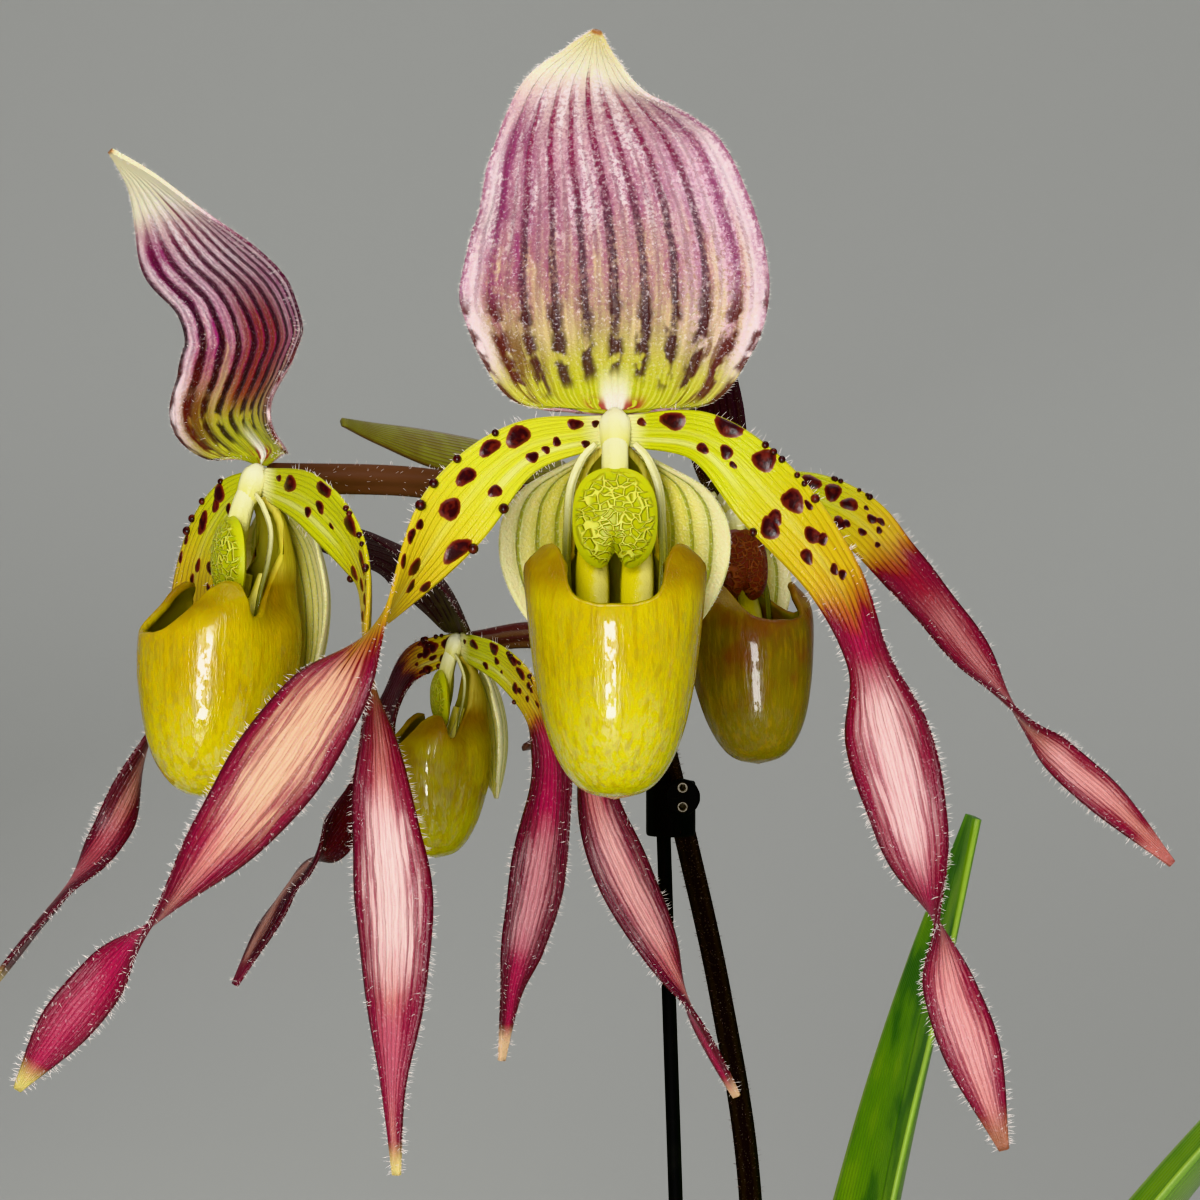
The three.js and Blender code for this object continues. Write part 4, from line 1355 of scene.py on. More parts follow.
def hair_mesh(
    name: str, roots: Array, tips: Array, radius: float, finish: Finish, seed: int,
) -> bpy.types.Object:
    """Makes fine three-sided needles, slightly bent.

    Args:
        name: The piece's name.
        roots: Where the hairs stand.
        tips: Where they end.
        radius: Their radius at the root.
        finish: Their finish.
        seed: The seed of the bends.

    Returns:
        One object for all the hairs.
    """
    random = np.random.default_rng(seed)
    axis = tips - roots
    length = np.linalg.norm(axis, axis=1, keepdims=True)
    axis = axis / length
    helper = np.where(np.abs(axis[:, 2:3]) > 0.9, np.array([[1.0, 0, 0]]), np.array([[0.0, 0, 1.0]]))
    side = unit(np.cross(axis, helper))
    other = np.cross(axis, side)
    sway, nod = random.normal(0, 0.12, (len(roots), 1)), random.normal(0, 0.12, (len(roots), 1))
    bend = (side * sway + other * nod) * length
    rows = []
    for share, size in ((0.0, 1.0), (0.55, 0.75)):
        centre = roots + axis * length * share + bend * share**2
        for k in range(3):
            angle = 2 * math.pi * k / 3
            rows.append(centre + (side * math.cos(angle) + other * math.sin(angle)) * radius * size)
    rows.append(tips + bend)
    points = np.stack(rows, axis=1)
    draft = Draft()
    numbers = draft.add_points(points)
    heights = np.array([0.0, 0.0, 0.0, 0.55, 0.55, 0.55, 1.0])
    for face in ((0, 1, 4, 3), (1, 2, 5, 4), (2, 0, 3, 5), (3, 4, 6), (4, 5, 6), (5, 3, 6)):
        chosen = numbers[:, face]
        coords = np.stack([np.full(len(face), 0.5), heights[list(face)]], axis=-1)
        draft.faces.extend(map(tuple, chosen.tolist()))
        draft.corners.append(np.tile(coords, (len(chosen), 1)))
        draft.slots.extend([0] * len(chosen))
    return draft.build(name, [finish.material()])


@dataclass
class Fringe:
    """Hairs along the margins of a blade and, more thinly, over its skins."""

    blade: Blade
    pose: Pose | Placed
    spacing: float
    length: float
    start: float = 0.02
    end: float = 0.995
    dense_from: float = 0.0
    over: int = 0
    seed: int = 1

    THIN = 0.35  # the share of hairs that stand before dense_from
    MARGIN = 0.985  # how far across the blade the margin's hairs stand

    def roots_and_tips(self) -> tuple[Array, Array]:
        """Places the hairs.

        Returns:
            Their roots and tips in the plant's frame.
        """
        random = np.random.default_rng(self.seed)
        t = np.linspace(self.start, self.end, 400)
        roots, tips = [], []
        for edge in (-1.0, 1.0):
            line = self.blade.surface(t, np.full_like(t, edge))
            run = np.concatenate([[0], np.cumsum(np.linalg.norm(np.diff(line, axis=0), axis=1))])
            count = int(run[-1] / self.spacing)
            u = np.interp(np.sort(random.uniform(0, run[-1], count)), run, t)
            u = u[(u > self.dense_from) | (random.uniform(size=count) < self.THIN)]
            v = np.full_like(u, edge * self.MARGIN)
            along, across, normal = self.blade.slopes(u, v)
            way = across * edge + random.normal(0, 0.35, (len(u), 1)) * normal
            way = unit(way + random.normal(0, 0.3, (len(u), 1)) * along + 0.12 * along)
            root = self.blade.surface(u, v)
            roots.append(root)
            tips.append(root + way * self.length * random.uniform(0.55, 1.15, (len(u), 1)))
        if self.over:
            u = random.uniform(max(self.start, self.dense_from), self.end, self.over)
            v = np.sign(random.uniform(-1, 1, self.over)) * random.uniform(0.35, 1, self.over) ** 0.5
            along, across, normal = self.blade.slopes(u, v)
            front = np.where(random.uniform(size=(self.over, 1)) < 0.5, 1.0, -1.0)
            way = unit(normal * front + 0.5 * random.normal(0, 1, (self.over, 1)) * across + 0.3 * along)
            root = self.blade.surface(u, v) + normal * front * self.blade.thickness * 0.4
            roots.append(root)
            tips.append(root + way * self.length * random.uniform(0.35, 0.7, (self.over, 1)))
        return self.pose.apply(np.concatenate(roots)), self.pose.apply(np.concatenate(tips))


@dataclass
class Spots:
    """Raised warts and spots on the first part of a petal."""

    blade: Blade
    side: Side
    share: float
    seed: int
    size: float = 1.0
    stray: float = 0.0

    HEIGHT = 0.24  # a wart's height as a share of its radius
    SINK = 0.03  # how far its foot lies in the skin
    # Along the petal, across it, and the radius in millimetres.
    RIGHT = (
        (0.023, 0.5, 0.55), (0.06, 0.5, 1.25), (0.105, -0.41, 0.8), (0.117, 0.8, 1.4),
        (0.132, 0.0, 0.9), (0.148, -0.16, 0.45), (0.168, 0.61, 1.45), (0.157, 0.97, 0.6),
        (0.168, 0.97, 0.6), (0.18, 0.97, 0.6), (0.204, 0.97, 0.5), (0.215, 0.97, 0.5),
        (0.232, 0.96, 0.75), (0.232, 0.69, 0.45), (0.219, 0.42, 1.3), (0.219, -0.25, 0.8),
        (0.223, -0.56, 1.2), (0.215, -0.97, 0.7), (0.254, 0.25, 0.9), (0.262, 0.42, 0.7),
        (0.265, -0.3, 0.75), (0.291, 0.19, 0.6), (0.3, 0.35, 0.55),
    )
    LEFT = (
        (0.012, -0.5, 0.5), (0.035, -0.56, 0.85), (0.027, 0.55, 0.5), (0.059, 0.18, 0.6),
        (0.074, 0.4, 0.55), (0.094, 0.47, 0.8), (0.098, -0.5, 1.4), (0.116, -0.97, 0.6),
        (0.129, -0.64, 1.1), (0.161, -0.97, 0.7), (0.168, -0.44, 1.15), (0.168, 0.95, 0.85),
        (0.159, 0.46, 0.8), (0.195, -0.97, 0.8), (0.217, -0.95, 0.9), (0.202, -0.2, 1.2),
        (0.229, -0.72, 0.5), (0.24, -0.9, 0.6), (0.259, -0.9, 0.55), (0.255, -0.2, 0.8),
        (0.266, 0.2, 0.6), (0.258, 0.75, 0.6), (0.215, 0.97, 0.85), (0.224, 0.66, 1.2),
    )

    def build(self, name: str, finish: Finish) -> bpy.types.Object:
        """Makes the warts as one object.

        Args:
            name: The piece's name.
            finish: Their finish.

        Returns:
            The object.
        """
        random = np.random.default_rng(self.seed)
        draft = Draft()
        length = self._length()
        for along, high, radius in self.RIGHT if self.side is Side.RIGHT else self.LEFT:
            u = max(0.01, along * self.share / 0.33 + self.stray * random.normal(0, 0.008))
            v, size = high, radius * self.size
            if abs(v) > 0.93:
                self._bead(draft, u, v, size * 0.85)
                continue
            v = float(np.clip(v + self.stray * random.normal(0, 0.15), -0.85, 0.85))
            self._dome(
                draft, u, v, size * random.uniform(0.95, 1.2), size * random.uniform(0.85, 1.0), length,
                random,
            )
        return draft.build(name, [finish.material()])

    def _length(self) -> float:
        """Measures the petal along its middle.

        Returns:
            The length in millimetres.
        """
        t = np.linspace(0, 1, 200)
        line = smooth(self.blade.stations, t)[:, :3]
        return float(np.linalg.norm(np.diff(line, axis=0), axis=1).sum())

    def _dome(
        self, draft: Draft, u0: float, v0: float, long: float, wide: float, length: float,
        random: np.random.Generator,
    ) -> None:
        """Adds one low wart that follows the skin.

        Args:
            draft: The draft that takes it.
            u0: Its middle's place along the petal.
            v0: Its middle's place across it.
            long: Its radius along the petal.
            wide: Its radius across it.
            length: The petal's length.
            random: The source of its uneven outline.
        """
        half = float(smooth(self.blade.stations, np.array([u0]))[0, 3])
        angle = np.linspace(0, 2 * np.pi, 14, endpoint=False)
        uneven = 1 + 0.13 * np.sin(2 * angle + random.uniform(0, 6))
        uneven = uneven + 0.1 * np.sin(3 * angle + random.uniform(0, 6))
        radius = np.array([1.22, 1.08, 0.98, 0.86, 0.62, 0.2])[:, None]
        reach = radius * uneven
        u = u0 + reach * np.cos(angle) * long / length
        v = np.clip(v0 + reach * np.sin(angle) * wide / half, -0.99, 0.99)
        dome = self.HEIGHT * min(long, wide) * np.sqrt(np.maximum(1 - radius**2, 0))
        height = dome * np.ones_like(reach) + self.SINK
        height[0] = -self.SINK
        numbers = draft.add_points(self.blade.skin(u, v, height))
        ring = closed(numbers)[:, ::-1]
        coords = np.stack([np.full(ring.shape, 0.5), np.broadcast_to(radius / 1.22, ring.shape)], axis=-1)
        draft.add_grid(ring, coords)
        draft.add_face(numbers[-1], np.tile([0.5, 0.1], (len(angle), 1)))

    def _bead(self, draft: Draft, u0: float, v0: float, radius: float) -> None:
        """Adds one round wart on the margin.

        Args:
            draft: The draft that takes it.
            u0: Its place along the petal.
            v0: Its place across it.
            radius: Its radius.
        """
        centre = self.blade.skin(np.array([u0]), np.array([v0]), np.array([0.1]))[0]
        turn, rise = np.meshgrid(np.linspace(0, -2 * np.pi, 10, endpoint=False), np.linspace(-1.35, 1.35, 7))
        points = centre + radius * np.stack(
            [np.cos(rise) * np.cos(turn), np.cos(rise) * np.sin(turn), np.sin(rise)], axis=-1,
        )
        draft.add_stalk(points, np.tile([0.5, 0.3], (7, 11, 1)))


# ------------------------------------------------------------------------------------------ blooms


@dataclass(frozen=True)
class Palette:
    """The finishes of one bloom."""

    hood: HoodFinish
    petals: dict[Side, PetalFinish]
    lip: LipFinish
    ovary: FleshFinish
    bract: BractFinish
    shield: ShieldFinish = ShieldFinish("column shield")


@dataclass
class Bloom:
    """One bloom: its head, its two petals, and the ovary and bract behind it."""

    name: str
    place: Point
    yaw: float
    pitch: float
    size: float
    lean: float
    sway: float
    hood: Point
    petals: dict[Side, Array]
    joint: float
    bract_side: int
    bract_lift: float
    bract_rise: float
    bract_length: float
    palette: Palette
    detail: float = 1.0
    sways: bool = False
    petal_thickness: float = 0.8
    wall: float = 0.8
    seat: float = 2.0
    seed: int = 1

    HOOD = np.array([
        [0, 0.2, -0.4, 1.9, 0, 0], [0, 0.8, 0.6, 13.2, 0, 1.2], [0, 2.6, 7, 18.4, 0, 3.8],
        [0, 3.2, 14.6, 20.7, 0, 5], [-0.4, 1.6, 22, 20.3, 0, 4.8], [-1.4, -2.4, 29, 18.3, 0, 4],
        [-3.0, -8, 36, 14.7, 0, 3], [-3.6, -14, 41, 9.9, 0, 2], [-3.1, -18.5, 44.8, 4.1, 0, 0.8],
        [-2.4, -22, 47.4, 0.6, 0, 0],
    ])
    SWAYING_HOOD = np.array([
        [0, 0.2, 0, 1.9, 0, 0], [0, 0.4, 2.4, 14, 0, 2.5], [0, -3, 7.5, 20, 0, 4.5],
        [0, -0.5, 14, 22, 0, 4.5], [0, 1.2, 20, 24, 0, 4.5], [0, -2, 27, 23.5, 0, 4],
        [0, -8.2, 32.5, 22, 0, 3], [0, -13.6, 38, 15, 0, 2], [0, -19.2, 43, 6.5, 0, 0.8],
        [0, -24.7, 46.8, 0.6, 0, 0],
    ])
    LOWER = np.array([
        [0, 1.3, -3.35, 3, 0, 0], [0, 4.6, -6.6, 12, 0, 2.5], [0, 7.2, -11, 15.2, 0, 4.6],
        [0, 8.8, -18, 15.5, 0, 5], [0, 9, -25, 13, 0, 4.6], [0, 8, -31.5, 8, 0, 3], [0, 6.5, -37, 0.8, 0, 0],
    ])
    # The lip from its toe to its claw: z, half width in front, half width of the claw, half depth, middle y.
    POUCH = np.array([
        [-50, 0.01, 0.01, 0.01, -8.6], [-49, 3.9, 3.9, 4.3, -8.6], [-46.5, 6.6, 6.6, 7.3, -8.6],
        [-42, 8.8, 8.8, 9.9, -8.4], [-36, 10.3, 10.3, 11.7, -7.9], [-30, 11.2, 11.2, 12.8, -7.4],
        [-24, 11.9, 11.2, 12.8, -7], [-20, 12.3, 8.2, 11.6, -6], [-17, 12, 6.7, 10.4, -5],
        [-12.5, 10.5, 6.3, 6.8, -1.8], [-6, 7, 5, 3, 0], [-2.9, 4, 3, 1.3, -1.3],
    ])
    RIM = np.array([[5.95], [5.98], [6.35], [8], [8.2], [7.85], [6.5], [7.1], [10], [11], [11], [11], [11]])
    CLAW_TURN = (82.0, 112.0)
    # The rim's front: its lowest height, the rise of its ears, the half width there and how far it leans in.
    CREST, EARS, HALF_WIDTH, LEAN_IN = -24.2, 5, 12.4, 1.3
    NECK = np.array([
        [0, 0.7, -0.1, 1.6], [0, -1.8, -1.5, 1.7], [0, -3.4, -4.8, 1.8], [0, -4.4, -9, 1.8],
        [0, -5, -13, 1.5],
    ])
    SWELLING = np.array([
        [0, -0.4, 2, 0.9], [0, -1.1, 0.6, 2.0], [0, -1.8, -1.2, 2.1], [0, -2.5, -3.2, 1.8],
        [0, -3.0, -4.4, 1.2],
    ])

    def __post_init__(self) -> None:
        """Works out the head's pose and the way that it faces."""
        turn = turned("z", self.yaw) @ turned("x", self.pitch)
        self.head = Pose(turn, np.array(self.place, float), np.full(3, self.size))
        self.facing = turn @ FORWARD

    def build(self) -> None:
        """Builds every piece of the bloom."""
        self._hood()
        self._lower_sepal()
        self._lip()
        self._claw_folds()
        self._column()
        for side in Side:
            self._petal(side)
        self._ovary_and_bract()

    def _steps(self, count: int) -> int:
        """Returns a number of steps at this bloom's level of detail."""
        return max(4, round(count * self.detail))

    def _fringe(self, name: str, fringe: Fringe, radius: float = 0.05) -> None:
        """Adds the hairs of one blade."""
        roots, tips = fringe.roots_and_tips()
        keep(hair_mesh(name, roots, tips, radius, HairFinish("plant hair"), fringe.seed))

    def _hood(self) -> None:
        """Builds the striped upper sepal with its fringe."""
        blade = Blade(
            self.SWAYING_HOOD if self.sways else self.HOOD, FORWARD, thickness=self.petal_thickness, wave=0.6,
            waves=3,
        )
        turn = turned("x", self.lean) @ turned("y", self.sway)
        rise = self.seat + 1.6 * abs(math.sin(math.radians(self.sway)))
        pose = Pose(turn, np.array([0, 0, rise]), np.array(self.hood, float)).then(self.head)
        steps = (self._steps(80), self._steps(56))
        keep_blade(self.name + "_dorsal_sepal", "dorsal_sepal", blade, pose, steps, self.palette.hood)
        fringe = Fringe(
            blade, pose, spacing=0.17 / self.detail, length=0.85, start=0.03, end=0.995,
            over=self._steps(700), seed=self.seed,
        )
        self._fringe(self.name + "_dorsal_sepal_hairs", fringe, 0.035)

    def _lower_sepal(self) -> None:
        """Builds the pale lower sepal with its fringe."""
        blade = Blade(self.LOWER, FORWARD, thickness=self.petal_thickness)
        steps = (self._steps(60), self._steps(44))
        finish = LowerSepalFinish("lower sepal")
        keep_blade(self.name + "_lower_sepal", "lower_sepal", blade, self.head, steps, finish)
        fringe = Fringe(
            blade, self.head, spacing=0.2 / self.detail, length=0.6, start=0.08, end=0.99, seed=self.seed + 1,
        )
        self._fringe(self.name + "_lower_sepal_hairs", fringe, 0.035)

    def _wall(self, turn: Array, reach: Array) -> Array:
        """Places points on the lip's outer wall.

        Args:
            turn: Degrees round the lip from its front.
            reach: How far up it, from the toe at 0 to the rim at 1.

        Returns:
            The points.
        """
        away = np.abs((turn + 180) % 360 - 180)
        last = len(self.POUCH) - 1
        rows = smooth(self.POUCH, np.minimum(smooth(self.RIM, away / 180)[..., 0], last) * reach / last)
        share = np.clip((away - self.CLAW_TURN[0]) / (self.CLAW_TURN[1] - self.CLAW_TURN[0]), 0, 1)
        share = share * share * (3 - 2 * share)
        half = rows[..., 1] * (1 - share) + rows[..., 2] * share
        angle = np.radians(turn)
        points = np.stack(
            [half * np.sin(angle), rows[..., 4] - rows[..., 3] * np.cos(angle), rows[..., 0]], axis=-1,
        )
        crest = self.CREST + self.EARS * (np.abs(points[..., 0]) / self.HALF_WIDTH) ** 2.6
        over = np.clip((points[..., 2] - crest) / 4, 0, 1) * np.clip((100 - away) / 20, 0, 1)
        inward = np.stack([-np.sin(angle), np.cos(angle), np.zeros_like(angle)], axis=-1)
        return points + inward * (self.LEAN_IN * over * over * (3 - 2 * over))[..., None]

    def _lip(self) -> None:
        """Builds the pouch as a thin shell with a rounded rim."""
        columns, rows = self._steps(108), self._steps(56)
        reach, turn = np.meshgrid(
            np.linspace(0.02, 1, rows), np.linspace(0, 360, columns, endpoint=False), indexing="ij",
        )
        outer = self._wall(turn, reach)
        around = self._wall(turn + 2, reach) - self._wall(turn - 2, reach)
        up = self._wall(turn, np.minimum(reach + 0.01, 1)) - self._wall(turn, reach - 0.01)
        inward = unit(np.cross(up, around))
        thick = self.wall * (1 + 0.6 * np.clip((reach - 0.9) / 0.1, 0, 1))[..., None]
        inner = outer + inward * thick
        lip_top = outer[-1] + inward[-1] * thick[-1] / 2 + unit(up[-1]) * 0.4
        draft = Draft()

        def coords(points: Array, shift: float) -> Array:
            """Shares out the wall's coordinates, with the seam's column twice.

            Args:
                points: The wall's points.
                shift: Added to the share round the wall.

            Returns:
                The shares round the wall and up it.
            """
            high = closed((points[..., 2] + 50) / 46)
            around_share = np.broadcast_to(np.linspace(0, 1, columns + 1), high.shape)
            return np.stack([around_share + shift, high], axis=-1)

        skins = [outer, np.stack([outer[-1], lip_top, inner[-1]]), inner[::-1]]
        numbers_out = draft.add_points(self.head.apply(outer))
        numbers_in = draft.add_points(self.head.apply(inner))
        numbers_top = draft.add_points(self.head.apply(lip_top))
        toe_out, toe_in = draft.add_points(
            self.head.apply(np.array([[0, -8.6, -50], [0, -8.6, -50 + self.wall]]))
        )
        bands = [numbers_out, np.stack([numbers_out[-1], numbers_top, numbers_in[-1]]), numbers_in[::-1]]
        for band, skin, shift in zip(bands, skins, (0.0, 0.0, BACK_SHIFT)):
            draft.add_grid(closed(band)[:, ::-1], coords(skin, shift)[:, ::-1])
        for k in range(columns):
            after = (k + 1) % columns
            flat = np.array([[0.5, 0.0]] * 3)
            draft.add_face(np.array([toe_out, numbers_out[0, after], numbers_out[0, k]]), flat)
            draft.add_face(
                np.array([toe_in, numbers_in[0, k], numbers_in[0, after]]), flat + np.array([BACK_SHIFT, 0]),
            )
        keep_skin(draft, self.name + "_lip", "lip", self.palette.lip)

    def _claw_folds(self) -> None:
        """Builds the two in-rolled margins that run from behind the shield down into the lip."""
        # pale at the top, near-black olive where the folds reach into the pouch: partly their own olive,
        # partly painted shade
        finish = FleshFinish(
            "claw fold", (0.74, 0.7, 0.34), (0.1, 0.1, 0.01), (0.3, 0.26, 0.02), ribs=2.0, rough=0.25,
            gloss=0.3, streaks=0.3,
        )
        draft = Draft()
        for away in (-1, 1):
            edge = np.array([
                [2.6 * away, -2.2, -2.6, 0.3, 0, -0.1], [4.4 * away, -1.8, -4.6, 0.5, 0, -0.2],
                [5.9 * away, -1.2, -8.4, 0.55, 0, -0.25], [6.3 * away, -1.8, -13, 0.55, 0, -0.25],
                [6.5 * away, -3.2, -18, 0.5, 0, -0.2], [6.3 * away, -4, -23, 0.5, 0, -0.2],
            ])
            draft.add_blade(Blade(edge, FORWARD, thickness=0.6), self.head, self._steps(40), self._steps(8))
            band = np.array([
                [3.2 * away, -1.6, -15, 1.6, 0, -0.7], [3.1 * away, -3, -18.5, 2.1, 0, -1.2],
                [3.0 * away, -4.4, -22, 2.2, 0, -1.3], [2.9 * away, -5.6, -27, 2.0, 0, -1.1],
            ])
            draft.add_blade(
                Blade(band, FORWARD, thickness=0.6), self.head, self._steps(30), self._steps(14), 1,
            )
        # painted highlight: the pale streak along one half of each band
        bright = FleshFinish(
            "claw band", (0.6, 0.5, 0.012), (0.66, 0.56, 0.012), (0.86, 0.8, 0.4), ribs=1.0, rough=0.16,
            gloss=0.5, streaks=0.35,
        )
        piece = draft.build(self.name + "_claw_folds", [finish.material(), bright.material()])
        keep(piece)

    def _column(self) -> None:
        """Builds the column's neck and its netted shield."""
        draft = Draft()
        draft.add_stalk(self.head.apply(tube_rings(self.NECK, self._steps(24), 20, UP)))
        draft.add_stalk(self.head.apply(tube_rings(self.SWELLING, self._steps(16), 20, UP)))
        width, height, middle, ahead, dome, back, edge = 5.8, 7.0, -12.8, -5.4, 2.2, 1.2, 0.3
        sectors, rings = self._steps(96), self._steps(20)
        ring, angle = np.meshgrid(
            np.linspace(0.02, 1, rings), np.linspace(0, 2 * np.pi, sectors, endpoint=False), indexing="ij",
        )
        off = (np.degrees(angle) - 270) / 11
        square = (np.abs(np.cos(angle)) ** 2.5 + np.abs(np.sin(angle)) ** 2.5) ** (-1 / 2.5)
        reach = ring * square * (1 - 0.36 * np.exp(-off**2)) * 0.98
        x, z = width * reach * np.cos(angle), height * reach * np.sin(angle)
        crown = np.maximum(1 - ring**2.6, 0)
        furrow = 0.5 * np.exp(-((x / 0.7) ** 2)) * np.clip(-z / height, 0, 1)
        round_edge = edge * np.sqrt(np.maximum(1 - ring**8, 0))
        front = np.stack([x, ahead - round_edge - dome * crown + furrow, middle + z], axis=-1)
        rear = np.stack([x, ahead + round_edge + back * crown, middle + z], axis=-1)
        coords = np.stack([0.5 + 0.5 * x / width, 0.5 + 0.5 * z / height], axis=-1)
        coords = closed(coords)
        for skin, order, shift in ((front, 1, 0.0), (rear, -1, BACK_SHIFT)):
            numbers = draft.add_points(self.head.apply(skin))
            draft.add_grid(closed(numbers)[:, ::order], (coords + np.array([shift, 0]))[:, ::order], 1)
            draft.add_face(numbers[0][::order], np.tile([0.5 + shift, 0.5], (sectors, 1)), 1)
        neck_finish = FleshFinish(
            "column neck", (0.8, 0.78, 0.54), (0.6, 0.56, 0.08), (0.74, 0.7, 0.3), ribs=3.0, rough=0.3,
            gloss=0.2, streaks=0.4,
        )
        keep_skin(draft, self.name + "_column", "column", neck_finish, self.palette.shield)

    def _petal(self, side: Side) -> None:
        """Builds one twisted petal with its warts and fringe.

        Args:
            side: Which of the two.
        """
        away = -1 if side is Side.LEFT else 1
        root = self.head.turn @ (np.array([1.2 * away, -0.2, -0.7]) * self.size)
        stations = np.vstack([[*root, 2.1, 0, 0], self.petals[side]])
        stations[:, :3] += np.array(self.place)
        blade = Blade(stations, self.facing, thickness=self.petal_thickness, wave=0.5, waves=4)
        name = f"{self.name}_petal_{side.value}"
        finish = self.palette.petals[side]
        keep_blade(name, "petal", blade, Pose(), (self._steps(150), self._steps(26)), finish)
        stray = 0.0 if self.detail == 1 else 1.0
        warts = Spots(blade, side, finish.change, self.seed + 3 * away, self.size, stray)
        keep(warts.build(name + "_warts", WartFinish("wart")))
        fringe = Fringe(
            blade, Pose(), spacing=0.3 / self.detail, length=1.15, start=0.05, end=0.998,
            dense_from=finish.change - 0.06, over=self._steps(260), seed=self.seed + 5 + away,
        )
        self._fringe(name + "_hairs", fringe, 0.042)

    def _ovary_and_bract(self) -> None:
        """Builds the ribbed ovary back to the flower stem, and the bract beside it."""
        gap, head, middle_radius, foot_radius = 0.3, 2.7, 2.3, 1.5
        back = -self.facing
        start = np.array(self.place) + back * (1.2 + gap) * self.size
        row = smooth(FlowerStem.ROUTE, np.array([self.joint]))[0]
        end, stem_radius = row[:3], row[3]
        span = float(np.linalg.norm(start - end))
        outward = unit(start - end)
        up_stem = unit(end - smooth(FlowerStem.ROUTE, np.array([self.joint - 0.01]))[0, :3])
        slant = abs(float(up_stem @ outward))
        straight = math.sqrt(1 - slant**2)
        beside = (stem_radius + 1.5 * gap + foot_radius * slant) / straight
        clear = beside if self.joint < 1 else 1.5 * gap + stem_radius * straight
        foot = end + outward * clear
        bend = start + back * span * 0.3
        centre = (bend + foot) / 2
        stations = np.array([
            [*start, head * self.size], [*bend, middle_radius], [*centre, middle_radius - 0.1],
            [*foot, foot_radius],
        ])
        rings = tube_rings(stations, self._steps(48), 48, UP, ribs=6, rib=0.16)
        keep_stalk(self.name + "_ovary", "ovary", rings, self.palette.ovary)
        self._down(stations)

        above = np.array([0, 0, float(self.bract_side)])
        rows = []
        for t, half in ((0.02, 1.6), (0.3, 3.6), (0.6, 3.4), (0.85, 1.8), (1.0, 0.6)):
            lift = above * (middle_radius + self.bract_lift + t * t * self.bract_rise)
            rows.append([*(foot + outward * self.bract_length * t + lift), half, 0, -0.9 * half / 3.6])
        facing = unit(np.array([0, -1, self.bract_side * self.bract_rise / 8]))
        blade = Blade(np.array(rows), facing, thickness=self.petal_thickness)
        steps = (self._steps(40), self._steps(16))
        keep_blade(self.name + "_bract", "bract", blade, Pose(), steps, self.palette.bract)

    def _down(self, stations: Array) -> None:
        """Covers the ovary with short down.

        Args:
            stations: The ovary's stations.
        """
        roots, tips = stalk_down(stations, self._steps(420), 0.75, self.seed + 9)
        keep(
            hair_mesh(self.name + "_ovary_hairs", roots, tips, 0.035, HairFinish("plant hair"), self.seed),
        )


def stalk_down(stations: Array, count: int, length: float, seed: int) -> tuple[Array, Array]:
    """Places short hairs all over a stalk.

    Args:
        stations: The stalk's stations, x, y, z and radius.
        count: How many hairs.
        length: Their length.
        seed: The seed of their places.

    Returns:
        Their roots and tips.
    """
    random = np.random.default_rng(seed)
    t = random.uniform(0.03, 0.97, count)
    rows = smooth(stations, t)
    tangent = tangents(stations, t)
    helper = unit(np.cross(tangent, np.array([0.31, 0.87, 0.38])))
    other = np.cross(tangent, helper)
    angle = random.uniform(0, 2 * np.pi, (count, 1))
    out = helper * np.cos(angle) + other * np.sin(angle)
    roots = rows[:, :3] + out * rows[:, 3:4] * 0.93
    way = unit(out + tangent * random.normal(0.15, 0.3, (count, 1)))
    return roots, roots + way * length * random.uniform(0.5, 1.1, (count, 1))


# ------------------------------------------------------------------------- stem, leaves and support


@dataclass
class FlowerStem:
    """The dark downy flower stem."""

    steps: int = 260
    sides: int = 24
    hairs: int = 2600

    ROUTE = np.array([
        [0, 0, 142, 2.1], [0.4, 0, 180, 2.0], [0.6, 0, 225, 1.9], [-0.3, 0, 272, 1.8], [-5, 0, 304, 1.75],
        [-11.2, 0, 332, 1.75], [-14, -1, 344, 1.75], [-17, -3, 357, 1.7], [-20, -6, 366, 1.6],
        [-23.5, -9.5, 374, 1.5], [-27.5, -14, 381, 1.4],
    ])

    def build(self) -> None:
        """Builds the stem and its down."""
        finish = FleshFinish(
            "flower stem", (0.005, 0.003, 0.003), (0.006, 0.004, 0.003), (0.014, 0.009, 0.005), ribs=5.0,
            rough=0.65, gloss=0.0, streaks=0.5, specular=0.06,
        )
        keep_stalk(
            "flower_stem", "flower_stem", tube_rings(self.ROUTE, self.steps, self.sides, FORWARD), finish,
        )
        roots, tips = stalk_down(self.ROUTE, self.hairs, 0.8, 77)
        hair = HairFinish("stem hair", (0.05, 0.02, 0.02), (0.24, 0.18, 0.16))
        keep(hair_mesh("flower_stem_hairs", roots, tips, 0.035, hair, 78))


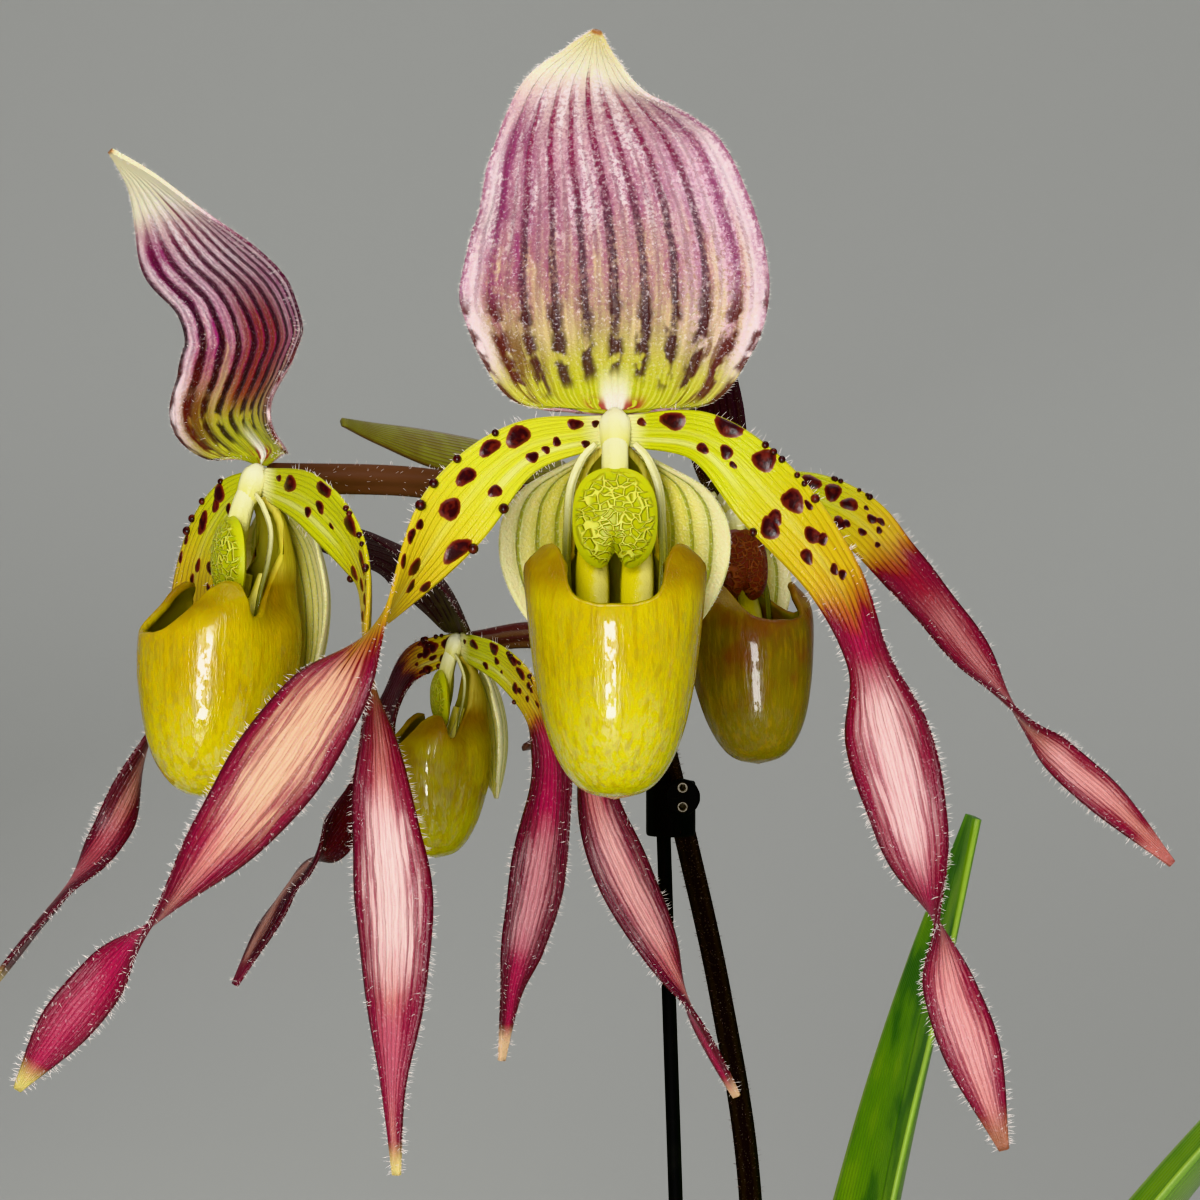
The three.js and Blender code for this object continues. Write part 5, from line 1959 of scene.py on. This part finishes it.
@dataclass
class LeafShape:
    """One strap leaf's place and sizes."""

    start: tuple[float, float]
    azimuth: float
    base: float
    lift: float
    length: float
    leans: tuple[float, float]
    half: float
    turn: float = 0.0

    WIDTHS = (0.45, 0.62, 0.8, 0.93, 1, 0.99, 0.93, 0.8, 0.56, 0.16)
    CUPS = (5, 5.5, 6, 6, 5.5, 5, 4, 3, 1.5, 0.3)

    def blade(self, thickness: float) -> Blade:
        """Shapes the leaf's blade.

        Args:
            thickness: The leaf's thickness.

        Returns:
            The blade.
        """
        angle = math.radians(self.azimuth)
        outward = np.array([math.cos(angle), math.sin(angle), 0.0])
        last = len(self.WIDTHS) - 1
        reach, height, rows = self.base, self.lift, []
        for i, (width, cup) in enumerate(zip(self.WIDTHS, self.CUPS)):
            spot = [self.start[0] + outward[0] * reach, self.start[1] + outward[1] * reach, height]
            lean = math.radians(self.leans[0] + (self.leans[1] - self.leans[0]) * (i + 0.5) / last)
            reach += math.sin(lean) * self.length / last
            height += math.cos(lean) * self.length / last
            rows.append([*spot, self.half * width, self.turn * min(1, i / 3), cup * self.half / 19])
        return Blade(np.array(rows), unit(UP - outward), thickness=thickness, wave=0.5, waves=2, edge=0.35)


@dataclass
class LeafFans:
    """The two fans of leaves and the short stems that they grow on."""

    thickness: float = 1.5
    first: tuple[float, float] = (0.0, 0.0)
    second: tuple[float, float] = (-14.0, 34.0)
    crown_radius: float = 5.5
    crown_foot: float = 104.0
    bark_level: float = 113.0
    crown_height: float = 26.0

    def shapes(self) -> list[LeafShape]:
        """Lays out the two fans.

        Returns:
            The ten leaves in the frame's order.
        """
        one, two = self.first, self.second
        return [
            LeafShape(one, -9, 6.8, 120, 215, (0, 15), 19, 18),
            LeafShape(one, 171, 6.8, 124, 150, (4, 40), 18),
            LeafShape(one, -11, 9, 118, 250, (3.5, 53), 20),
            LeafShape(one, 169, 8.5, 120, 225, (16, 96), 20),
            LeafShape(one, -7, 11.4, 117, 190, (36, 112), 18),
            LeafShape(one, 173, 10.6, 118, 175, (48, 118), 17),
            LeafShape(two, 22, 6.8, 122, 150, (6, 56), 14),
            LeafShape(two, 157, 6.8, 119, 140, (12, 66), 14),
            LeafShape(two, 26, 8.6, 116, 120, (36, 104), 13),
            LeafShape(two, 153, 8.8, 116, 112, (44, 108), 13),
        ]

    def build(self) -> None:
        """Builds the leaves and both crowns."""
        finish = LeafFinish("leaf blade")
        for number, shape in enumerate(self.shapes(), 1):
            keep_blade(f"leaf_{number}", "leaf", shape.blade(self.thickness), Pose(), (90, 24), finish)
        self._crown("crown", self.first)
        self._crown("second_crown", self.second)

    def _crown(self, node: str, centre: tuple[float, float]) -> None:
        """Builds one short leafy stem.

        Args:
            node: The frame's node that it stands for.
            centre: Its x and y.
        """
        x, y = centre
        level, radius = self.bark_level, self.crown_radius
        stations = np.array([
            [x, y, self.crown_foot, radius - 0.5], [x, y, level, radius],
            [x, y, level + self.crown_height / 2, radius - 0.6],
            [x, y, level + self.crown_height, radius - 2.6],
        ])
        finish = FleshFinish(
            "crown", (0.3, 0.34, 0.09), (0.2, 0.3, 0.05), (0.34, 0.26, 0.1), ribs=7.0, rough=0.45,
            gloss=0.0, streaks=0.6,
        )
        keep_stalk(node, "crown", tube_rings(stations, 40, 40, FORWARD, ribs=7, rib=0.06), finish)


@dataclass
class Support:
    """The stake and the clip that holds the flower stem to it."""

    radius: float = 1.1
    foot: Point = (-4.0, -26.0, 14.0)
    head: Point = (-14.4, -4.4, 340.0)
    voxel: float = 0.28
    eyes: tuple[Point, ...] = ((-11.2, 0, 334.3), (-11.2, 0, 337.3))

    def build(self) -> None:
        """Builds the rod and the moulded clip."""
        foot, head = np.array(self.foot), np.array(self.head)
        shares = np.array([0, 0.002, 0.5, 0.997, 0.999, 1.0])
        radii = np.array([0.8, 1, 1, 1, 0.85, 0.45]) * self.radius
        axis = unit(head - foot)
        side = unit(np.cross(axis, FORWARD))
        up = np.cross(side, axis)
        angle = np.linspace(0, 2 * np.pi, 24, endpoint=False)
        ring = side * np.cos(angle)[:, None] + up * np.sin(angle)[:, None]
        rings = (foot + (head - foot) * shares[:, None])[:, None, :] + ring[None] * radii[:, None, None]
        coat = MouldedFinish(
            "stake coat", (0.004, 0.004, 0.004), (0.02, 0.02, 0.018), rough=0.6, dust=0.2, specular=0.12,
        )
        keep_stalk("stake", "stake", rings, coat)
        self._clip()

    def _clip(self) -> None:
        """Rounds the frame's own clip into a moulded one."""
        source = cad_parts["stem_clip"]
        piece = source.copy()
        piece.data = source.data.copy()
        piece.name = "stem_clip_skin"
        piece.animation_data_clear()
        bpy.context.scene.collection.objects.link(piece)
        remesh = piece.modifiers.new("round", "REMESH")
        remesh.mode, remesh.voxel_size = "VOXEL", self.voxel * MM
        soften = piece.modifiers.new("soften", "SMOOTH")
        soften.factor, soften.iterations = 0.5, 3
        mesh = bpy.data.meshes.new_from_object(piece.evaluated_get(bpy.context.evaluated_depsgraph_get()))
        piece.modifiers.clear()
        piece.data = mesh
        mesh.shade_smooth()
        mesh.materials.clear()
        to_piece = source.matrix_world.inverted()
        eyes = tuple(tuple(to_piece @ (Vector(eye) * MM) / MM) for eye in self.eyes)
        # the clip's eyes get painted glints
        plastic = MouldedFinish(
            "clip plastic", (0.003, 0.003, 0.003), (0.012, 0.012, 0.012), rough=0.6, dust=0.1, specular=0.1,
            painted_eye_glints=eyes,
        )
        mesh.materials.append(plastic.material())
        keep(piece, "stem_clip")


@dataclass
class PottedBase:
    """The pot and the bark chips that fill it."""

    base: float = 47.0
    top: float = 63.0
    rim: float = 66.0
    rim_drop: float = 12.0
    height: float = 120.0
    wall: float = 2.0
    floor: float = 3.0
    level: float = 113.0
    chips: int = 260
    keep_clear: tuple[Point, ...] = ((0, 0, 6.6), (-14, 34, 6.6), (-7.2, -19.4, 2.2))

    def inside(self, height: float) -> float:
        """Returns the pot's inner radius at a height."""
        share = (height - self.floor) / (self.height - self.floor)
        return self.base - self.wall + (self.top - self.base) * share

    def build(self) -> None:
        """Builds the pot, dresses the plug of bark and lays chips over it."""
        sides = 144
        profile = [
            (0.01, 0), (self.base - 6, 0), (self.base - 1, 0), (self.base - 0.3, 0.3), (self.base, 1),
            (self.top - 1.7, self.height - self.rim_drop - 0.4),
            (self.top - 1.5, self.height - self.rim_drop),
            (self.rim - 0.5, self.height - self.rim_drop + 0.8),
            (self.rim, self.height - self.rim_drop + 1.6), (self.rim, self.height - 1.2),
            (self.rim - 0.3, self.height - 0.35), (self.rim - 1, self.height),
            (self.inside(self.height) + 0.6, self.height), (self.inside(self.height), self.height - 0.5),
            (self.inside(self.floor), self.floor), (0.01, self.floor),
        ]
        angle = np.linspace(0, 2 * np.pi, sides, endpoint=False)
        rings = np.array([[[r * math.cos(a), r * math.sin(a), z] for a in angle] for r, z in profile])
        plastic = MouldedFinish(
            "pot plastic", (0.03, 0.031, 0.033), (0.14, 0.13, 0.11), rough=0.42, dust=0.25,
        )
        keep_stalk("pot", "pot", rings[:, ::-1], plastic)
        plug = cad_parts["potting_bark"]
        plug.data.materials.clear()
        plug.data.materials.append(BarkFinish("bark").material())
        self._chips()

    def _chips(self) -> None:
        """Lays irregular chips of bark over the plug, clear of the stems and the stake."""
        random = np.random.default_rng(11)
        combined = bmesh.new()
        laid = 0
        while laid < self.chips:
            turn = random.uniform(0, 2 * np.pi)
            reach = (self.inside(self.level) - 6) * math.sqrt(random.uniform())
            x, y = reach * math.cos(turn), reach * math.sin(turn)
            long, wide, thick = random.uniform(4.5, 8.5), random.uniform(3, 5.5), random.uniform(1.2, 2.4)
            if any(math.hypot(x - a, y - b) < r + long * 0.95 for a, b, r in self.keep_clear):
                long, wide = 2.2, 1.8
                if any(math.hypot(x - a, y - b) < r + long for a, b, r in self.keep_clear):
                    continue
            cloud = random.uniform(-1, 1, (16, 3))
            cloud = cloud / np.maximum(np.abs(cloud).max(axis=1, keepdims=True), 0.75)
            cloud = cloud * np.array([long, wide, thick])
            heading = turned("z", random.uniform(0, 360))
            tilt = heading @ turned("x", random.uniform(-22, 22)) @ turned("y", random.uniform(-22, 22))
            points = cloud @ tilt.T + np.array([x, y, self.level + random.uniform(-0.6, 2.0)])
            chip = bmesh.new()
            for point in points:
                chip.verts.new(point * MM)
            bmesh.ops.convex_hull(chip, input=chip.verts)
            loose = [v for v in chip.verts if not v.link_faces]
            bmesh.ops.delete(chip, geom=loose, context="VERTS")
            bmesh.ops.bevel(chip, geom=chip.edges[:], offset=0.35 * MM, segments=1, affect="EDGES")
            made = bpy.data.meshes.new("one chip")
            chip.to_mesh(made)
            combined.from_mesh(made)
            bpy.data.meshes.remove(made)
            chip.free()
            laid += 1
        mesh = bpy.data.meshes.new("bark_chips")
        combined.to_mesh(mesh)
        combined.free()
        mesh.materials.append(BarkFinish("bark").material())
        keep(add_object("bark_chips", mesh))


# ------------------------------------------------------------------------------------------ studio


@dataclass
class Studio:
    """The floor that sweeps up into a backdrop, the lights and the camera."""

    eye: Point = (-24.0, -525.0, 366.4)
    lens: float = 100.0
    aim: Point = (-0.02, -0.04, 0.34)
    floor_colour: Colour = (0.66, 0.66, 0.63)

    def build(self) -> None:
        """Builds the floor, the lights and the camera."""
        self._floor()
        self._light("key softbox", (-0.35, -1.25, 0.85), power=12.5, wide=0.55, tall=0.75, mirrored=False)
        self._light("front strip", (-0.12, -0.8, 0.25), power=3.8, wide=0.2, tall=0.42)
        self._light("right softbox", (1.05, -0.55, 0.55), power=6.0, wide=0.6, tall=0.8, mirrored=False)
        self._light("back softbox", (-0.55, 0.75, 1.0), power=7.0, wide=0.7, tall=0.5, mirrored=False)
        self._light("top softbox", (0.0, -0.1, 1.35), power=5.0, wide=0.9, tall=0.9)
        world = bpy.data.worlds.new("studio air")
        world.use_nodes = True
        air = world.node_tree.nodes["Background"]
        air.inputs[0].default_value = (0.8, 0.83, 0.84, 1)
        air.inputs[1].default_value = 0.22
        bpy.context.scene.world = world
        camera = add_object("camera", bpy.data.cameras.new("camera"))
        camera.location = np.array(self.eye) * MM
        camera.rotation_euler = (math.pi / 2, 0, 0)
        camera.data.lens = self.lens
        camera.data.sensor_width = 36
        camera.data.clip_start = 0.01
        bpy.context.scene.camera = camera
        bpy.context.scene.view_settings.view_transform = "Khronos PBR Neutral"

    def _floor(self) -> None:
        """Builds the pale sweep, painted darker on the flat floor than up the backdrop as painted shade."""
        half, bend_at, bend, top = 2.6, 0.9, 0.8, 2.8
        profile = [(-half, 0.0), (bend_at, 0.0)]
        profile += [
            (
                bend_at + bend * math.sin(a), bend - bend * math.cos(a),
            ) for a in np.linspace(0, math.pi / 2, 18)[1:]
        ]
        profile += [(bend_at + bend, top)]
        points = [(x, y, z) for y, z in profile for x in (-half, half)]
        faces = [(2 * i, 2 * i + 1, 2 * i + 3, 2 * i + 2) for i in range(len(profile) - 1)]
        mesh = bpy.data.meshes.new("floor")
        mesh.from_pydata(points, [], faces)
        mesh.shade_smooth()
        paper = bpy.data.materials.new("floor paper")
        paper.use_nodes = True
        shader = next(n for n in paper.node_tree.nodes if n.type == "BSDF_PRINCIPLED")
        w = Wiring(paper.node_tree)
        # painted shade: the flat floor is darker than the rising backdrop, with a faint mottle
        rise = w.ease(w.read(2, "ShaderNodeSeparateXYZ", {0: w.place()}), 0.0, 550.0)
        tone = (1 - rise + w.noise(w.place(), 0.002, 2.0) * 0.15) * 0.9
        darker = tuple(c * 0.74 for c in self.floor_colour)
        w.set(shader, Base_Color=w.blend(tone, self.floor_colour, darker), Roughness=0.9)
        mesh.materials.append(paper)
        add_object("floor", mesh)

    def _light(
        self, name: str, where: Point, power: float, wide: float, tall: float,
        mirrored: bool = True,
    ) -> None:
        """Adds one soft area light aimed at the blooms.

        Args:
            name: The light's name.
            where: Its place in metres.
            power: Its power in watts.
            wide: Its width in metres.
            tall: Its height in metres.
            mirrored: Whether glossy surfaces mirror it.
        """
        data = bpy.data.lights.new(name, "AREA")
        data.shape, data.size, data.size_y, data.energy = "RECTANGLE", wide, tall, power
        light = add_object(name, data)
        light.location = where
        aim = np.array(self.aim) - np.array(where)
        heading = math.atan2(aim[1], aim[0])
        rise = math.atan2(aim[2], math.hypot(aim[0], aim[1]))
        light.rotation_euler = (math.pi / 2 + rise, 0, heading - math.pi / 2)
        light.visible_camera = False
        light.visible_glossy = mirrored


# ---------------------------------------------------------------------------------- the four blooms


def front_petals() -> dict[Side, Array]:
    """Lays out the front bloom's petals, from its centre.

    Returns:
        The stations of each side.
    """
    return {
        Side.RIGHT: np.array([
            [12, -5, -2, 3.4, 0, 0.4], [20.5, -8, -10, 4.9, 5, 0.5], [29, -12, -21, 3.9, 20, 0.3],
            [33, -14, -31, 3.4, 45, 0.3], [35.5, -16, -41, 5.8, 20, 0.9], [38.5, -17, -53, 4.8, 10, 0.6],
            [41.5, -18, -65, 3.0, 90, 0.2], [43.5, -18, -74, 3.6, 165, 0.5], [46.5, -18, -83, 3.6, 185, 0.5],
            [50.5, -17, -95, 0.7, 200, 0],
        ]),
        Side.LEFT: np.array([
            [-12.5, -5, -3.5, 3.6, 0, 0.4], [-21, -9, -12, 5.0, -10, 0.5], [-30.5, -14, -26, 3.4, -90, 0.2],
            [-37.5, -18, -36, 5.2, -165, 0.7], [-43.5, -20, -45, 6.0, -185, 0.9],
            [-50.5, -21, -54.5, 4.6, -195, 0.5], [-59.5, -22, -65, 2.8, -270, 0.2],
            [-65.5, -21, -72, 3.3, -345, 0.5], [-71.5, -20, -79, 3.2, -365, 0.4],
            [-77.5, -18, -87, 0.6, -380, 0],
        ]),
    }


def side_petals() -> dict[Side, Array]:
    """Lays out the side bloom's petals, from its centre.

    Returns:
        The stations of each side.
    """
    return {
        Side.RIGHT: np.array([
            [8.4, -10.8, -4, 4, 0, 0.4], [15, -17, -12.6, 4.6, 10, 0.4], [15.8, -16.2, -25.8, 4.0, 30, 0.2],
            [17, -16.5, -35.8, 3.4, 70, 0.2], [18, -16.5, -46.8, 4.4, 120, 0.5],
            [19, -16.5, -57.8, 5.6, 140, 0.8], [19, -16, -69.8, 4.6, 145, 0.5],
            [19, -16, -81.2, 2.0, 150, 0.2], [19.5, -16, -93.4, 0.6, 150, 0],
        ]),
        Side.LEFT: np.array([
            [-6, 7, -4.2, 4.0, 0, 0.4], [-10, 11.5, -11.4, 4.8, -10, 0.5], [-12, 14, -23, 3.8, -30, 0.2],
            [-16, 14, -31.8, 3.4, 0, 0.3], [-19, 13, -40.8, 3.4, 40, 0.4], [-23, 11, -50.3, 2.6, 130, 0.2],
            [-28, 10, -56.8, 3.6, 200, 0.5], [-34, 9, -64.3, 3.4, 215, 0.4], [-41, 8, -73.8, 0.6, 220, 0],
        ]),
    }


def low_petals() -> dict[Side, Array]:
    """Lays out the low bloom's petals, from its centre.

    Returns:
        The stations of each side.
    """
    return {
        Side.LEFT: np.array([
            [-7.6, 6, -3.5, 3.0, 0, 0.4], [-11.4, 8.7, -10.6, 3.8, -10, 0.4],
            [-13.7, 10, -20.4, 3.0, -60, 0.2], [-17.7, 8, -27.2, 3.0, -100, 0.2],
            [-21.2, 4, -31.8, 3.2, -150, 0.3], [-25.7, 4, -36.4, 3.8, -175, 0.6],
            [-29.7, 3, -42.8, 3.0, -190, 0.4], [-34.2, 2, -51.6, 0.6, -200, 0],
        ]),
        Side.RIGHT: np.array([
            [6.6, -9.8, -3.2, 3, 0, 0.4], [11.6, -16.2, -9, 3.8, -10, 0.4], [13.8, -17, -16.4, 4.0, -20, 0.3],
            [13.3, -18, -25.4, 4.4, -40, 0.6], [11.8, -17, -34.4, 4.2, -50, 0.6],
            [9.6, -15, -43.6, 3.2, -70, 0.4], [7.8, -13, -51, 1.8, -100, 0.2], [6.4, -12, -61, 0.6, -120, 0],
        ]),
    }


def far_petals() -> dict[Side, Array]:
    """Lays out the far bloom's petals, from its centre.

    Returns:
        The stations of each side.
    """
    return {
        Side.RIGHT: np.array([
            [10.6, -4, 0.8, 3.4, 0, 0.4], [18.6, -6, -2.7, 4.0, 10, 0.4], [24.6, -7.5, -9.2, 3.6, 20, 0.3],
            [30.3, -8.5, -16.2, 3.9, -10, 0.6], [36, -9.5, -24, 3.5, -20, 0.5],
            [42.5, -10, -31.6, 2.4, -70, 0.2], [48.1, -10, -37.4, 2.6, -150, 0.3],
            [55.8, -10, -44.2, 2.8, -180, 0.4], [64.1, -10, -52.6, 0.6, -190, 0],
        ]),
        Side.LEFT: np.array([
            [-6.6, -6.4, -4.6, 2.8, 0, 0.4], [-11, -10, -11, 4.0, -10, 0.4],
            [-15.4, -11, -20.7, 3.4, -60, 0.2], [-19, -9, -33.7, 3.0, -90, 0.2],
            [-18.5, -5, -44.7, 3.4, -130, 0.3], [-14.5, -2, -55.5, 4.2, -165, 0.6],
            [-9, -1, -66.2, 3.2, -190, 0.4], [-4, 0, -76.7, 2.0, -260, 0.2], [1.8, 0, -87.6, 0.6, -300, 0],
        ]),
    }


def blooms() -> list[Bloom]:
    """Lays out the blooms with their own places, poses and colours.

    Returns:
        The four blooms.
    """
    brown_ovary = FleshFinish(
        "ovary", (0.06, 0.02, 0.012), (0.085, 0.032, 0.014), (0.26, 0.21, 0.04), ribs=12.0, rough=0.4,
        gloss=0.05, streaks=0.8,
    )
    dark_ovary = FleshFinish(
        "dark ovary", (0.06, 0.014, 0.014), (0.045, 0.01, 0.012), (0.12, 0.06, 0.02), ribs=6.0, rough=0.4,
        gloss=0.05, streaks=0.6,
    )
    olive = BractFinish("olive bract")
    maroon = BractFinish("maroon bract", (0.09, 0.03, 0.015), (0.035, 0.006, 0.008), share=0.8)
    white, cream = (0.8, 0.54, 0.5), (0.7, 0.46, 0.26)
    rose, wine = (0.6, 0.27, 0.25), (0.3, 0.02, 0.055)
    maroon_deep, maroon_flesh = (0.05, 0.003, 0.008), (0.11, 0.005, 0.018)
    front = Palette(
        HoodFinish("front hood"),
        {
            Side.RIGHT: PetalFinish(
                "front right petal", (Lobe(0.53, 0.15, white), Lobe(0.84, 0.13, rose)),
                tip=(0.3, 0.11, 0.06), tip_from=0.95,
            ),
            Side.LEFT: PetalFinish(
                "front left petal", (Lobe(0.47, 0.16, cream), Lobe(0.84, 0.1, wine, 0.8)), upper=-1.0,
                near=(0.52, 0.51, 0.03), tip=(0.54, 0.44, 0.12), tip_from=0.95,
            ),
        },
        LipFinish("front lip"), dark_ovary, maroon,
    )
    side = Palette(
        HoodFinish(
            "side hood", low=(0.28, 0.15, 0.035), mid=(0.5, 0.24, 0.22), pale=(0.78, 0.52, 0.58),
            high=(0.86, 0.66, 0.7), wash=(0.28, 0.01, 0.12), dark_stripe=(0.016, 0.004, 0.004),
            mid_stripe=(0.014, 0.001, 0.004), top_stripe=(0.055, 0.002, 0.018), tip=(0.82, 0.76, 0.44),
            width=0.31, strong=1.2, halo=0.6, core=0.95, broken=0.12, cream_from=0.82, sheen=0.3, patch=0.9,
            glow=(0.36, 0.03, 0.18),
        ),
        {
            Side.RIGHT: PetalFinish(
                "side right petal",
                (Lobe(0.64, 0.16, (0.86, 0.62, 0.57), 1.0), Lobe(0.86, 0.09, (0.42, 0.09, 0.13))),
                tip_from=0.955, change=0.34,
            ),
            Side.LEFT: PetalFinish(
                "side left petal", (Lobe(0.72, 0.12, wine, 0.7),), upper=-1.0, deep=maroon_deep,
                flesh=maroon_flesh, change=0.3,
            ),
        },
        LipFinish("side lip", toe=(0.46, 0.38, 0.004), side=(0.39, 0.265, 0.004)), brown_ovary, olive,
    )
    low = Palette(
        HoodFinish("low hood", shade=0.92),
        {
            Side.RIGHT: PetalFinish(
                "low right petal", (Lobe(0.64, 0.17, white, 0.34),), deep=maroon_deep, tip=cream, change=0.28,
            ),
            Side.LEFT: PetalFinish(
                "low left petal", (), upper=-1.0, deep=(0.03, 0.003, 0.006), flesh=(0.06, 0.004, 0.01),
                tip=maroon_flesh, change=0.12,
            ),
        },
        LipFinish("low lip", side=(0.3, 0.23, 0.006), toe=(0.38, 0.33, 0.006), gloss=0.7, brown_blots=0.4),
        dark_ovary, maroon,
    )
    far = Palette(
        HoodFinish("far hood", shade=0.95),
        {
            Side.RIGHT: PetalFinish(
                "far right petal", (Lobe(0.52, 0.14, rose, 0.5), Lobe(0.82, 0.12, rose, 0.8)),
                flesh=(0.22, 0.01, 0.024), tip=(0.4, 0.12, 0.1), change=0.32,
            ),
            Side.LEFT: PetalFinish(
                "far left petal", (Lobe(0.67, 0.15, white, 0.36),), upper=-1.0, deep=maroon_deep, tip=cream,
                tip_from=0.965, change=0.26,
            ),
        },
        # painted shade: the far lip's toe and side are much darker copies of the other lips' colours
        LipFinish("far lip", side=(0.095, 0.058, 0.003), toe=(0.135, 0.1, 0.003), gloss=0.3, brown_blots=0.8),
        dark_ovary, maroon,
        ShieldFinish("far shield", (0.11, 0.022, 0.014), (0.22, 0.07, 0.03), (0.14, 0.03, 0.02)),
    )
    even = (1.0, 1.0, 1.0)
    return [
        Bloom(
            "front_bloom", place=(-22, -75, 390), yaw=0, pitch=0, size=1.0, lean=0, sway=0, hood=even,
            petals=front_petals(), joint=0.87, bract_side=-1, bract_lift=0.6, bract_rise=8, bract_length=24,
            palette=front, seed=21,
        ),
        Bloom(
            "side_bloom", place=(-70.6, -65, 383.2), yaw=-61, pitch=0, size=0.88, lean=0, sway=0,
            hood=(1.0, 1.02, 1.02), petals=side_petals(), joint=1, bract_side=1, bract_lift=3, bract_rise=3.5,
            bract_length=50, palette=side, detail=0.9, sways=True, seed=41,
        ),
        Bloom(
            "low_bloom", place=(-44.8, -25, 360), yaw=-74, pitch=3, size=0.64, lean=34, sway=0, hood=even,
            petals=low_petals(), joint=0.6, bract_side=-1, bract_lift=1.3, bract_rise=8, bract_length=26,
            palette=low, detail=0.7, seed=61,
        ),
        Bloom(
            "far_bloom", place=(-5.7, -35, 381), yaw=27, pitch=-5, size=0.78, lean=-6, sway=-6,
            hood=(0.32, 0.6, 0.66), petals=far_petals(), joint=0.7, bract_side=-1, bract_lift=1.2,
            bract_rise=8, bract_length=24, palette=far, detail=0.7, seed=81,
        ),
    ]


def main() -> None:
    """Builds the plant and its studio."""
    Studio().build()
    PottedBase().build()
    Support().build()
    FlowerStem().build()
    LeafFans().build()
    for bloom in blooms():
        bloom.build()


if __name__ == "__main__":
    main()
